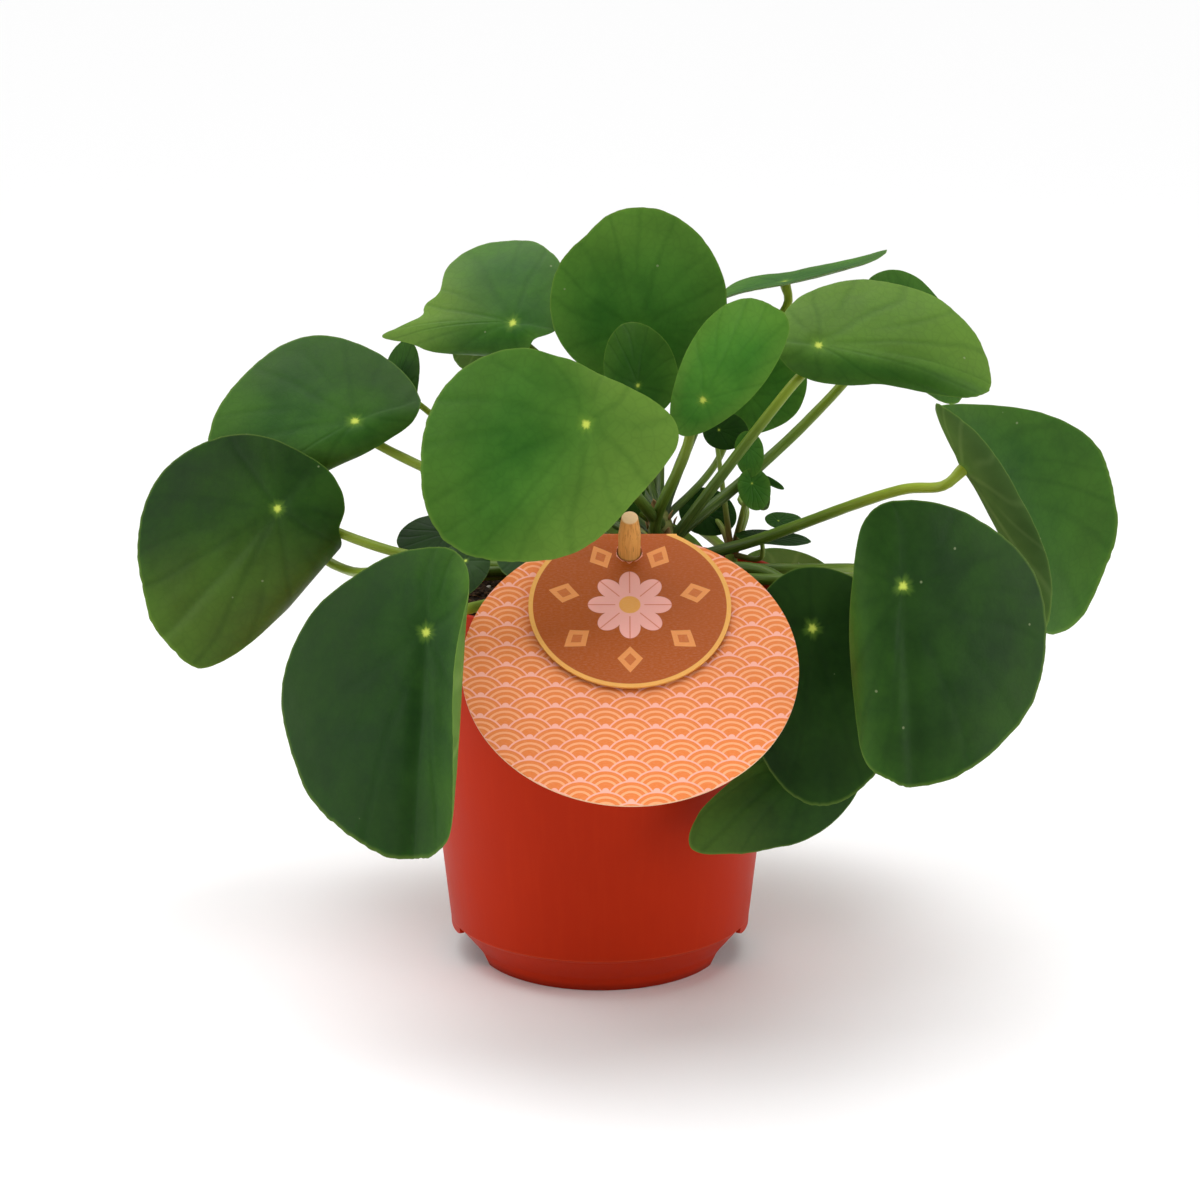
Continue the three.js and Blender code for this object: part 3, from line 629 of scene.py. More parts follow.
def blade_material(name):
    material, shader, tree = new_material(
        name, Subsurface_Weight=0.06, Subsurface_Radius=(0.5, 1.0, 0.2), Subsurface_Scale=0.0015,
        Specular_IOR_Level=0.1,
    )
    disc = attribute(tree, "disc", "Vector")
    sheet = attribute(tree, "sheet", "Vector")
    tint = attribute(tree, "tint")
    deep, pale, spot_size = (attribute(tree, label) for label in ("deep", "pale", "spot"))
    underside = attribute(tree, "underside")
    seed = parts_of(sheet)[2]
    share = disc.do("LENGTH", out=1)
    flat = level(sheet)
    from_spot = flat.do("LENGTH", out=1)
    veins = fan_of_veins(disc, seed, 0.13) * soft_step(share, 0.02, 0.25)
    cell = flow(tree, "ShaderNodeTexVoronoi", {"Vector": sheet, "Scale": 330.0}, feature="DISTANCE_TO_EDGE")
    cell_lines = soft_step(cell, 0.0, 0.16, 1.0, 0.0)
    mottle = soft_step(noise(sheet, 55.0, 4.0, 0.6), 0.25, 0.75)
    grain = noise(sheet, 900.0, 3.0)

    old = blend(mottle, screen(25, 52, 15), screen(43, 78, 21))
    young = blend(mottle, screen(58, 120, 36), screen(84, 144, 48))
    green = blend(tint, old, young)
    green = blend(soft_step(noise(sheet, 24.0), 0.45, 0.75) * 0.3, green, screen(66, 102, 30))
    green = blend(soft_step(share, 0.5, 1.0) * tint * 0.4, green, screen(110, 146, 54))
    # painted shade darkens the side that faces away from the light, and painted light makes a side yellow-green
    green = blend(deep, green, DEEPER, "MULTIPLY")
    green = blend(pale, green, screen(132, 160, 66))
    green = blend(veins * 0.2, green, blend(tint, screen(14, 36, 10), screen(44, 98, 24)))
    green = blend(cell_lines * 0.08, green, screen(20, 48, 16))
    below = blend(mottle, screen(80, 112, 46), screen(100, 132, 60))
    below = blend(veins * 0.5, below, screen(124, 152, 78))
    # the same painted shade on the underside
    below = blend(deep, below, DEEPER, "MULTIPLY")
    face = blend(underside, green, below)
    rays = noise(flat.do("NORMALIZE") + vector_of(tree, seed, seed, seed), 2.5, 1.0)
    from_star = from_spot / (rays * 1.1 + 0.45) / spot_size
    halo = soft_step(from_star, 0.0008, 0.0036, 1.0, 0.0)
    core = soft_step(from_star, 0.0005, 0.0016, 1.0, 0.0)
    face = blend(halo * 0.4, face, screen(120, 160, 54))
    face = blend(core * 0.9, face, screen(206, 220, 92))
    # painted light: the thin paler margin stands in for light shining through the blade's edge from behind
    margin = soft_step(share, 0.975, 0.998)
    face = blend(margin * 0.35, face, screen(112, 140, 58))
    speck = flow(tree, "ShaderNodeTexVoronoi", {"Vector": sheet, "Scale": 95.0})
    specks = soft_step(speck, 0.03, 0.045, 1.0, 0.0)
    face = blend(specks * 0.5, face, screen(150, 160, 120))
    feed(shader, Base_Color=face)
    feed(shader, Roughness=soft_step(mottle, 0.1, 0.9, 0.38, 0.48) + underside * 0.15 + grain * 0.06)
    height = veins * -0.4 + cell_lines * -0.07 + grain * 0.25
    feed(shader, Normal=bump(height, 0.0002, 0.6))
    return material


leaf_green = blade_material("leaf_green")
young_green = blade_material("young_green")
blade = blade_tree(leaf_green)
print("leaf materials:", leaf_green.name, young_green.name)

# %% [markdown]
# ## The blades: one row each
# Each row says where the blade's stalk point is, which way it faces (turn, from the front towards the right),
# how far it lifts to the sky, how far its tip swings from straight down, and its size: length, left half and
# right half. Then come the bends of its left and right half, its tip and its back, in degrees, and with a
# second number where the bend comes late, near the margin. `root` is the height at which its stalk leaves the
# stem, and `via` is what the stalk passes. A lobe is an angle, a share by which the margin stands out, and a
# breadth. Two more give a painted shade and a painted light: the angle, amount and middle of a side that is
# drawn darker, and of one that is drawn lighter, for how the blade faces the light.

# %% The plant's blades
def leaf(
    name, at, turn, lift, tip, size, seat, bends, root, via,
    egg=0.08, lean=0.0, crease=0.0, tint=0.35, deep=(0, 0, 0), pale=(0, 0, 0), lobes=(),
):
    return locals()


LEAVES = [
    leaf("left_low", (-0.102, 0.019, 0.139), -14, 16, -39, (0.074, 0.037, 0.034), 0.25,
         (-16, (-140, 1.8), (10, 2), -12), 0.117, [(-0.062, 0.018, 0.1245)], crease=0.0006, tint=0.05,
         deep=(255, 0.6, 0.2), pale=(40, 0.25, 0.3),
         lobes=[(72, -0.13, 20), (139, -0.17, 12), (172, 0.1, 14),
                (272, 0.07, 24), (28, 0.07, 14), (330, -0.05, 20)]),
    leaf("left_high", (-0.078, 0.032, 0.165), -10, 40, -62, (0.072, 0.041, 0.014), 0.3,
         (-16, (-110, 1.5), -20, -20), 0.122, [(-0.058, 0.034, 0.15)], tint=0.26, deep=(225, 0.5, 0.3),
         pale=(45, 0.3, 0.6),
         lobes=[(128, -0.12, 18), (188, 0.05, 14), (225, -0.05, 18), (264, 0.05, 24), (322, 0.04, 20)]),
    leaf("left_tip", (-0.067, 0.058, 0.169), -45, 20, 190, (0.032, 0.009, 0.01), 0.4,
         (-20, -20, -10, -10), 0.126, [(-0.038, 0.05, 0.15)], tint=0.2),
    leaf("front_left", (-0.048, -0.096, 0.128), -24, 14, 2, (0.089, 0.048, 0.019), 0.27,
         (-24, (130, 3), 0, (-22, 2)), 0.118, [(-0.037, -0.049, 0.1235), (-0.042, -0.076, 0.127)], lean=-0.004,
         crease=0.001, tint=0.22, deep=(285, 0.85, -0.1), pale=(105, 0.2, 0.8),
         lobes=[(50, 0.1, 20), (212, -0.06, 16), (262, 0.09, 22), (330, -0.06, 24), (5, -0.03, 12)]),
    leaf("front_middle", (-0.004, -0.062, 0.18), -8, 22, -50, (0.073, 0.033, 0.029), 0.29,
         (-12, -10, 4, -14), 0.134, [(0.006, -0.034, 0.16)], tint=0.55, deep=(310, 0.2, 0.4), pale=(130, 0.35, 0.1),
         lobes=[(205, -0.34, 38), (152, 0.22, 16), (275, 0.13, 32),
                (108, -0.07, 20), (45, -0.03, 24), (234, -0.04, 8)]),
    leaf("back_left", (-0.028, 0.042, 0.195), -12, 42, -93, (0.066, 0.035, 0.013), 0.24,
         (-20, (-105, 1.4), -30, -14), 0.138, [(-0.008, 0.036, 0.174)], egg=0.45, tint=0.42, pale=(0, 0.4, 0.4),
         lobes=[(344, -0.31, 18), (314, -0.26, 17), (48, -0.1, 20),
                (153, -0.34, 20), (274, 0.05, 14), (228, -0.04, 12)]),
    leaf("top", (0.012, 0.034, 0.193), 2, 6, 178, (0.056, 0.028, 0.028), 0.3,
         (-8, -8, -10, -8), 0.139, [(0.018, 0.034, 0.166)], tint=0.55, deep=(180, 0.25, 0.2), pale=(0, 0.12, 0.6),
         lobes=[(45, -0.05, 18)]),
    leaf("top_small", (0.012, 0.014, 0.179), 24, 8, 186, (0.031, 0.013, 0.011), 0.36,
         (26, -6, -8, -8), 0.139, [(0.013, 0.018, 0.158)], tint=0.4),
    leaf("bright", (0.031, -0.014, 0.179), 12, 12, 140, (0.049, 0.0115, 0.0135), 0.26,
         (8, 4, -10, -6), 0.126, [(0.017, -0.001, 0.138), (0.026, -0.008, 0.162)], egg=-0.2, tint=0.95,
         deep=(200, 0.3, 0.3), lobes=[(328, 0.08, 24)]),
    leaf("right_back", (0.048, 0.04, 0.172), 10, 10, 150, (0.036, 0.017, 0.017), 0.36,
         (-6, -6, -6, -6), 0.136, [(0.038, 0.042, 0.15)], tint=0.6, lobes=[(225, -0.1, 30)]),
    leaf("right_high", (0.067, 0.006, 0.193), 6, 44, 82, (0.071, 0.015, 0.029), 0.19,
         ((-108, 1.3), (-16, 2), (-34, 2), -10), 0.124, [(0.03, 0.005, 0.142), (0.058, 0.006, 0.179)],
         crease=0.0003, tint=0.42, deep=(270, 0.1, 0.3), pale=(90, 0.3, -0.2),
         lobes=[(280, -0.27, 26), (125, -0.05, 16), (72, 0.05, 16)]),
    leaf("far_right", (0.095, 0.036, 0.198), 40, 30, 30, (0.05, 0.022, 0.022), 0.3,
         (-10, -10, -16, -6), 0.128, [(0.0515, 0.02, 0.1535), (0.077, 0.029, 0.1775)], tint=0.25,
         lobes=[(308, -0.2, 30)]),
    leaf("level", (0.06, 0.062, 0.206), -90, 81, 180, (0.058, 0.019, 0.019), 0.4,
         (10, 16, 14, -14), 0.138, [(0.04, 0.054, 0.176)], tint=0.45, lobes=[(80, -0.45, 40)]),
    leaf("right", (0.1035, -0.0616, 0.1675), 118, 34, -3, (0.08, 0.013, 0.04), 0.255,
         (50, (114, 0.3), -12, 6), 0.12, [(0.044, -0.004, 0.1325), (0.0867, -0.05, 0.1587)], egg=-0.25, lean=0.013,
         tint=0.3, deep=(270, 0.75, 0.3), lobes=[(125, 0.3, 28), (18, 0.1, 16), (0, -0.08, 8)]),
    leaf("front_right", (0.083, -0.096, 0.141), 16, 8, 2, (0.08, 0.02, 0.046), 0.3,
         ((-104, 1.3), -20, 0, (-16, 2)), 0.118, [(0.05, -0.024, 0.126), (0.082, -0.044, 0.131)], crease=0.001,
         tint=0.12, deep=(90, 0.55, -0.4),
         lobes=[(240, -0.16, 30), (142, -0.09, 26), (62, 0.04, 20), (310, 0.1, 18)]),
    # painted shade over the whole blade, for the shade it hangs in behind the card
    leaf("shaded", (0.062, -0.052, 0.118), 4, 16, 2, (0.07, 0.021, 0.027), 0.26,
         (-10, -10, -6, -12), 0.117, [(0.044, -0.028, 0.125)], tint=0.02, deep=(0, 0.6, -1.5)),
    leaf("lowest", (0.062, -0.051, 0.082), 0, 24, -60, (0.058, 0.018, 0.025), 0.26,
         (-10, -40, -8, -10), 0.118, [(0.052, -0.016, 0.126), (0.067, -0.032, 0.109)], tint=0.06,
         deep=(180, 0.5, -0.3), pale=(0, 0.2, 0.6), lobes=[(336, -0.44, 24), (20, 0.12, 16), (68, -0.04, 14)]),
    # the next three blades are painted darker all over: painted shade for the shade inside the crown
    leaf("inner_left", (-0.041, -0.014, 0.13), -14, 50, -20, (0.023, 0.009, 0.009), 0.3,
         (-14, -14, -10, -6), 0.118, [(-0.014, 0.002, 0.122)], tint=0.02, deep=(0, 0.5, -1.5)),
    leaf("inner_front", (-0.016, -0.008, 0.1385), -14, 56, -20, (0.03, 0.013, 0.013), 0.3,
         (-14, -14, -10, -6), 0.124, [(0.002, 0.002, 0.129)], tint=0.02, deep=(0, 0.4, -1.5)),
    leaf("left_under", (-0.048, 0.03, 0.129), -10, 58, -80, (0.026, 0.011, 0.011), 0.32,
         (-14, -14, -10, -6), 0.119, [(-0.026, 0.018, 0.126)], tint=0.02, deep=(0, 0.5, -1.5)),
    leaf("upright", (0.008, -0.005, 0.147), 20, 6, 178, (0.026, 0.006, 0.005), 0.3,
         (30, 30, 0, 0), 0.134, [], tint=0.05),
    leaf("back_middle", (-0.016, 0.092, 0.15), 186, 30, 6, (0.06, 0.028, 0.028), 0.3,
         (-12, -16, -12, -10), 0.13, [(-0.002, 0.048, 0.142)]),
    leaf("back_low", (0.012, 0.105, 0.101), 176, 14, -8, (0.066, 0.03, 0.028), 0.3,
         (-18, -12, -6, -10), 0.118, [(0.016, 0.064, 0.127)]),
    leaf("back_left_low", (-0.056, 0.084, 0.096), 214, 16, 12, (0.062, 0.026, 0.028), 0.3,
         (-14, -22, -8, -10), 0.119, [(-0.024, 0.052, 0.126)]),
    leaf("back_right_low", (0.104, 0.058, 0.108), 122, 12, -14, (0.06, 0.026, 0.026), 0.3,
         (-22, -14, -8, -10), 0.119, [(0.0605, -0.004, 0.1246), (0.085, 0.024, 0.118)]),
    leaf("back_right", (0.068, 0.088, 0.096), 148, 18, 10, (0.058, 0.026, 0.026), 0.3,
         (-14, -14, -8, -10), 0.118, [(0.03, 0.05, 0.127)]),
    leaf("back_far_left", (-0.114, 0.058, 0.13), 232, 20, 16, (0.056, 0.024, 0.026), 0.3,
         (-14, -20, -8, -10), 0.118, [(-0.06, -0.006, 0.1246), (-0.084, 0.032, 0.117)]),
    leaf("back_top", (0.014, 0.084, 0.188), 176, 44, -10, (0.048, 0.022, 0.022), 0.3,
         (-14, -14, -14, -10), 0.137, [(0.016, 0.05, 0.168)]),
    leaf("back_top_left", (-0.034, 0.084, 0.191), 206, 36, 8, (0.034, 0.015, 0.015), 0.3,
         (-14, -14, -14, -10), 0.136, [(-0.012, 0.048, 0.166)]),
]
SMALL_BENDS = (-8, -8, -10, 0)


def small_leaf(at, turn, lift, tip, size, via, tint=0.55, deep=(0, 0, 0)):
    """A small blade of the offset, all of which bend alike."""
    return leaf("small", at, turn, lift, tip, size, 0.35, SMALL_BENDS, None, via, tint=tint, deep=deep)


OFFSET_LEAVES = [
    # the first, fifth and sixth blades here are painted darker all over: painted shade over the whole blade
    small_leaf((0.0375, 0.022, 0.1635), 6, 4, 80, (0.015, 0.006, 0.006),
               [(0.039, 0.026, 0.144)], 0.12, (0, 0.5, -1.5)),
    small_leaf((0.046, 0.014, 0.1595), -20, 10, 10, (0.0145, 0.0045, 0.005), [(0.0455, 0.013, 0.143)], 0.5),
    small_leaf((0.0476, 0.012, 0.1484), 10, 10, 15, (0.0135, 0.005, 0.0055), [(0.0455, 0.019, 0.136)], 0.55),
    small_leaf((0.0565, 0.02, 0.1353), 10, 60, 85, (0.0125, 0.004, 0.004), [(0.05, 0.023, 0.13)], 0.2),
    small_leaf((0.051, 0.015, 0.131), 0, 74, 86, (0.024, 0.005, 0.005), [], 0.05, (0, 0.5, -1.5)),
    small_leaf((0.032, 0.033, 0.136), 0, 30, 70, (0.019, 0.008, 0.008),
               [(0.038, 0.031, 0.132)], 0.05, (0, 0.4, -1.5)),
    small_leaf((0.05, 0.038, 0.143), 130, 30, 10, (0.016, 0.006, 0.006), [(0.047, 0.03, 0.136)]),
    small_leaf((0.053, 0.02, 0.148), 0, 20, 60, (0.009, 0.0012, 0.0012), [(0.047, 0.022, 0.14)], 0.3),
]
print(len(LEAVES), "blades on the plant,", len(OFFSET_LEAVES), "on the offset")

# %% Grow the blades
MARGIN_WAVE_SCALE = 1000  # a blade's wave starts where its own size, in millimetres, puts it


def blade_axes(row):
    """Which way a blade faces and which way its length runs, as unit vectors."""
    turn, lift, tip = (math.radians(row[key]) for key in ("turn", "lift", "tip"))
    face = Vector((math.sin(turn) * math.cos(lift), -math.cos(turn) * math.cos(lift), math.sin(lift)))
    down = (Vector((0, 0, -1)) + face * face.z).normalized()
    return face, math.cos(tip) * down + math.sin(tip) * face.cross(down)


def blade_values(row, seed, finish, **more):
    """The inputs of the blade's tree for one row."""
    face, long = blade_axes(row)
    length, left_half, right_half = row["size"]
    values = {
        "At": row["at"], "Face": face, "Long": long, "Length": length, "Left Half": left_half,
        "Right Half": right_half, "Seat": row["seat"], "Egg": row["egg"], "Lean": row["lean"],
        "Crease": row["crease"], "Tint": row["tint"],
        "Ripple Phase": (length + left_half) * MARGIN_WAVE_SCALE, "Seed": float(seed), "Finish": finish,
    }
    for side, bend in zip(("Left", "Right", "End", "Back"), row["bends"]):
        degrees, late = bend if isinstance(bend, tuple) else (bend, 1)
        values[side + " Turn"] = math.radians(degrees)
        values[side + " Late"] = float(late)
    for key in ("deep", "pale"):
        values[key.title()] = [float(part) for part in row[key]]
    for number, lobe in enumerate(row["lobes"]):
        values[f"Lobe {number + 1}"] = [float(part) for part in lobe]
    return {**values, **more}


YOUNG = {"bright"}  # blades whose CAD node takes the young leaves' finish
SEED_STEP = 3.7  # from one blade's noise to the next one's
for number, row in enumerate(LEAVES):
    slot = "young_leaf" if row["name"] in YOUNG else "leaf"
    finish = young_green if row["name"] in YOUNG else leaf_green
    piece = grow("leaf_" + row["name"], blade, blade_values(row, SEED_STEP * number, finish))
    settle(piece, slot, "blade_" + row["name"])
print(len(LEAVES), "blades grown, the last with", len(piece.data.polygons), "faces")

# %% [markdown]
# ## Stalks
# Every blade hangs on a long, round, slightly fleshy stalk that leaves the stem in a bow and meets the blade
# square to its underside. A hand-drawn tube would do for one, but there are three dozen, so the routes are
# worked out: a smooth line through a few points, from the stem to just inside the blade. Geometry Nodes then
# sweeps a round section along each, thicker where it leaves the stem and flared where it meets the blade.

# %% Smooth routes
STEM_POINTS = [(0.018, 0.006, 0.092), (0.02, 0.004, 0.112), (0.02, 0.005, 0.128), (0.018, 0.008, 0.141)]
STEM_RADIUS = (0.0064, 0.004)  # at its foot and at its top
ROUTE_STEPS = 12  # points from one given point of a route to the next
STALK_END = 0.0009  # the stalk ends this far behind the blade's stalk point, inside the blade
STALK_STRAIGHT = 0.007  # its last stretch runs square to the blade


def smooth_route(points, steps=ROUTE_STEPS):
    """A line through the points without kinks (a centripetal Catmull-Rom spline)."""
    points = [Vector(point) for point in points]
    knots = [2 * points[0] - points[1], *points, 2 * points[-1] - points[-2]]
    route = []
    for a, b, c, d in zip(knots, knots[1:], knots[2:], knots[3:]):
        before, gap, after = [(q - p).length ** 0.5 for p, q in ((a, b), (b, c), (c, d))]
        leave = ((b - a) / before - (c - a) / (before + gap) + (c - b) / gap) * gap
        arrive = ((c - b) / gap - (d - b) / (gap + after) + (d - c) / after) * gap
        for step in range(steps):
            t = step / steps
            s = 1 - t
            route.append((1 + 2 * t) * s * s * b + t * s * s * leave + t * t * (3 - 2 * t) * c - t * t * s * arrive)
    return [*route, points[-1]]


stem_route = smooth_route(STEM_POINTS)


def stem_at(height):
    """The middle of the stem at about that height."""
    share = (height - stem_route[0].z) / (stem_route[-1].z - stem_route[0].z)
    return stem_route[round(share * (len(stem_route) - 1))]


def stalk_route(row, root):
    face, _ = blade_axes(row)
    end = Vector(row["at"]) - face * STALK_END
    return smooth_route([root, *row["via"], end - face * STALK_STRAIGHT, end])


print("stem route:", len(stem_route), "points")

# %% [markdown]
# The tree reads the thickness of each route from its points' radius, so that one curve object can hold many
# stalks. It stores how far along the stalk each point is, and where it is around it, for the material.

# %% The stalk's tree
def stalk_tree(material):
    tree, given, result = new_group(
        "stalk",
        {"Routes": SHAPE, "Base Radius": 0.0019, "Tip Radius": 0.00145, "Base Swelling": 0.35, "Flare": 0.25,
         "Flare Reach": 0.04, "Spacing": 0.002, "Sides": 16, "Wobble": 0.0003, "Finish": material},
        {"Stalks": SHAPE},
    )
    feeds = {"Curve": given["Routes"], "Length": given["Spacing"]}
    even = flow(tree, "GeometryNodeResampleCurve", feeds, mode="LENGTH")
    along = flow(tree, "GeometryNodeSplineParameter")
    position = point_place(tree)
    thickness = flow(tree, "GeometryNodeInputRadius")
    colours = flow(tree, "ShaderNodeTexNoise", {"Vector": position, "Scale": 60.0}, out=1)
    sway = flow(tree, "ShaderNodeVectorMath", {0: colours, 1: (0.5, 0.5, 0.5)}, operation="SUBTRACT")
    even = keep(even, "along", along)
    even = move(even, sway * (given["Wobble"] * (along * (1.0 - along)) * 4.0))
    radius = (given["Tip Radius"] - given["Base Radius"]) * along + given["Base Radius"]
    swollen = soft_step(along, 0.0, 0.12, 1.0, 0.0) * given["Base Swelling"]
    flared = soft_step(along, 1.0 - given["Flare Reach"], 1.0) * given["Flare"]
    uneven = noise(position, 160.0) * 0.12 + 0.94
    scale = radius * thickness * (swollen + flared + 1.0) * uneven
    ring = flow(tree, "GeometryNodeCurvePrimitiveCircle", {"Resolution": given["Sides"], "Radius": 1.0})
    ring = keep(ring, "around", position, "FLOAT_VECTOR")
    feeds = {"Curve": even, "Profile Curve": ring, "Scale": scale, "Fill Caps": True}
    swept = flow(tree, "GeometryNodeCurveToMesh", feeds)
    finished(swept, result, given["Finish"])
    return tree


def routes_curve(name, routes):
    """One curve that holds every route; a route is its points and its thickness, 1 for a full one."""
    curve = bpy.data.curves.new(name, "CURVE")
    curve.dimensions = "3D"
    for points, thickness in routes:
        spline = curve.splines.new("POLY")
        spline.points.add(len(points) - 1)
        for target, point in zip(spline.points, points):
            target.co = (*point, 1.0)
            target.radius = thickness
    return curve


# %% [markdown]
# A stalk is yellow-green where it meets the blade and a duller, darker olive towards the stem, with fine streaks
# that run its whole length. That darker base is partly the stalk's own colour and partly painted shade, where
# the blades above shade the stalks near the stem. The streaks are noise in a space that is stretched along the
# stalk. The stem is woody: brown bark with a green tinge, ringed by the scars that fallen leaves left.

# %% Materials of the stalks and the stem
def stalk_material(name, tip, middle, base):
    """Streaked skin whose colour runs from the base over the middle to the tip."""
    material, shader, tree = new_material(
        name, Roughness=0.38, Subsurface_Weight=0.08, Subsurface_Radius=(0.6, 1.0, 0.2), Subsurface_Scale=0.0015,
        Specular_IOR_Level=0.25,
    )
    along = attribute(tree, "along")
    around = attribute(tree, "around", "Vector")
    streaks = noise(around + vector_of(tree, 0.0, 0.0, along * 3.0), 4.5, 3.0, 0.6)
    patches = noise(object_spot(tree), 90.0, 2.0)
    colour = blend(soft_step(along, 0.0, 0.45), base, middle)
    colour = blend(soft_step(along, 0.35, 1.0), colour, tip)
    colour = blend(soft_step(streaks, 0.4, 0.75) * 0.16, colour, screen(176, 192, 92))
    colour = blend(soft_step(patches, 0.5, 0.8) * 0.3, colour, screen(78, 92, 30))
    feed(shader, Base_Color=colour)
    feed(shader, Normal=bump(streaks * 0.6 + patches * 0.4, 0.0001, 0.5))
    return material


def bark_material():
    material, shader, tree = new_material("green_bark", Specular_IOR_Level=0.3)
    along = attribute(tree, "along")
    spot = object_spot(tree)
    rings = noise(spot.do("MULTIPLY", (1.0, 1.0, 3.2)), 230.0, 4.0, 0.65)
    broad = noise(spot, 90.0, 3.0)
    colour = blend(broad, screen(84, 66, 40), screen(128, 112, 62))
    colour = blend(soft_step(along, 0.55, 1.0) * 0.6, colour, screen(110, 128, 54))
    colour = blend(soft_step(rings, 0.5, 0.68) * 0.6, colour, screen(56, 40, 26))
    feed(shader, Base_Color=colour)
    feed(shader, Roughness=soft_step(rings, 0.3, 0.8, 0.6, 0.85))
    feed(shader, Normal=bump(rings, 0.0005, 0.8))
    return material


STALK_TIP = screen(146, 164, 44)
STALK_MIDDLE = screen(84, 112, 30)
# the dark base colour is partly painted shade, where the blades above shade the stalks near the stem
stalk_green = stalk_material("stalk_green", STALK_TIP, STALK_MIDDLE, screen(40, 62, 22))
green_bark = bark_material()
print("materials:", stalk_green.name, green_bark.name)

# %% Sweep the stalks
SHORT_BLADE = 0.04  # a blade up to this length hangs on a thinner stalk
THIN_STALK = 0.7

routes = []
for row in LEAVES:
    thickness = THIN_STALK if row["size"][0] <= SHORT_BLADE else 1.0
    routes.append((stalk_route(row, stem_at(row["root"])), thickness))
stalk = stalk_tree(stalk_green)
leaf_stalks = grow("leaf_stalks", stalk, {}, routes_curve("stalk_routes", routes))
settle(leaf_stalks, "stalk", "stem_and_stalks")
print(len(routes), "stalks,", len(leaf_stalks.data.polygons), "faces")

# %% [markdown]
# The stem is swept by the same tree with other sizes: more sides, a flare turned into a narrowing at its top,
# and no wobble. Its leaf scars and rough bark are real relief, so a second tree pushes the swept points in and
# out along their normals. Dry brown scales sit where the stalks leave it. They are one small leaf-shaped mesh,
# set on points that are strewn over the upper stem with a fixed seed, each turned to stand off the bark.

# %% The stem and its dry scales
RING_DEPTH = 0.0006
LUMP_DEPTH = 0.0007
SCALE_DENSITY = 42000.0  # scales on each square metre of bark
SCALE_GAP = 0.0022
SCALE_SIZE = 0.0034
SCALE_SEED = 4


def scale_mesh():
    """One dry scale, a pointed little shield that bends outwards, lying along +Z with its face to +X."""
    outline = [(0.0, 0.34), (0.3, 0.4), (0.6, 0.3), (0.85, 0.14), (1.0, 0.0)]  # how far up, and how wide there
    shape = bmesh.new()
    rows = []
    for up, half in outline:
        lean = 0.12 + 0.35 * up * up
        rows.append([shape.verts.new((lean - 0.4 * across * across, across, up)) for across in (-half, 0.0, half)])
    for low, high in zip(rows, rows[1:]):
        for side in (0, 1):
            shape.faces.new((low[side], low[side + 1], high[side + 1], high[side]))
    bmesh.ops.remove_doubles(shape, verts=shape.verts, dist=0.001)
    bmesh.ops.solidify(shape, geom=shape.faces[:], thickness=0.08)
    return as_mesh("dry_scale", shape)


def bark_tree(material):
    """Rough bark: the swept stem with rings and lumps."""
    tree, given, result = new_group("bark", {"Stem": SHAPE}, {"Bark": SHAPE})
    position = point_place(tree)
    rings = noise(position.do("MULTIPLY", (0.5, 0.5, 2.2)), 120.0, 2.0)
    lumps = noise(position, 110.0, 2.0)
    depth = (rings - 0.5) * RING_DEPTH * 2.0 + (lumps - 0.5) * LUMP_DEPTH * 2.0
    finished(move(given["Stem"], point_normal(tree) * depth), result, material)
    return tree


def scales_tree(material, scale):
    """Scales strewn over a stem, denser towards its top."""
    tree, given, result = new_group("dry scales", {"Stem": SHAPE}, {"Scales": SHAPE})
    along = kept(tree, "along")
    feeds = {0: given["Stem"], 2: SCALE_GAP, 3: SCALE_DENSITY, 5: soft_step(along, 0.35, 0.75), 6: SCALE_SEED}
    strewn = add(tree, "GeometryNodeDistributePointsOnFaces", feeds, distribute_method="POISSON")
    upright = add(tree, "FunctionNodeAlignRotationToVector", {"Vector": (0.0, 0.0, 1.0)}, axis="Z")
    feeds = {"Rotation": upright.outputs[0], "Vector": strewn.outputs["Normal"]}
    outward = flow(tree, "FunctionNodeAlignRotationToVector", feeds, axis="X", pivot_axis="Z")
    size = flow(tree, "FunctionNodeRandomValue", {2: 0.6, 3: 1.15, 8: SCALE_SEED}, out=1, data_type="FLOAT")
    finished(strew(strewn.outputs[0], scale, outward, size * SCALE_SIZE), result, material)
    return tree


swept_stem = grow(
    "swept_stem", stalk,
    {"Base Radius": STEM_RADIUS[0], "Tip Radius": STEM_RADIUS[1], "Base Swelling": 0.0, "Flare": -0.5,
     "Flare Reach": 0.12, "Spacing": 0.0006, "Sides": 72, "Wobble": 0.0, "Finish": green_bark},
    routes_curve("stem_route", [(stem_route, 1.0)]),
)
woody_stem = grow("woody_stem", bark_tree(green_bark), {}, swept_stem.data.copy())
settle(woody_stem, "stalk", "stem_and_stalks")
dry_brown, shader, tree = new_material("dry_brown", Roughness=0.75)
grain = noise(object_spot(tree), 500.0, 3.0)
feed(shader, Base_Color=blend(grain, screen(112, 76, 40), screen(176, 140, 86)))
one_scale = place("one_scale", scale_mesh())
stem_scales = grow("stem_scales", scales_tree(dry_brown, one_scale), {}, swept_stem.data.copy())
settle(stem_scales, "stalk", "stem_and_stalks")
for helper in (one_scale, swept_stem):
    bpy.data.objects.remove(helper)
print("stem:", len(woody_stem.data.polygons), "faces, scales:", len(stem_scales.data.polygons), "faces")

# %% [markdown]
# ## The offset
# A pilea sends up small plants from its roots. This one stands right of the stem: a thin reddish stem of its
# own with seven small blades and a tiny pointed one. It is made with the two trees that are here already, at
# smaller sizes.

# %% The offset's stem, stalks and blades
OFFSET_ROOT = (0.041, 0.024, 0.095)
OFFSET_TOP = (0.042, 0.024, 0.126)
OFFSET_STALK_ROOT = (0.042, 0.024, 0.123)
OFFSET_STEM_RADIUS = (0.0026, 0.0019)  # at its foot and at its top
OFFSET_STALK_RADIUS = 0.0009
OFFSET_BLADE_THICKNESS = 0.0004
OFFSET_SEED_STEP, OFFSET_FIRST_SEED = 2.3, 0.9

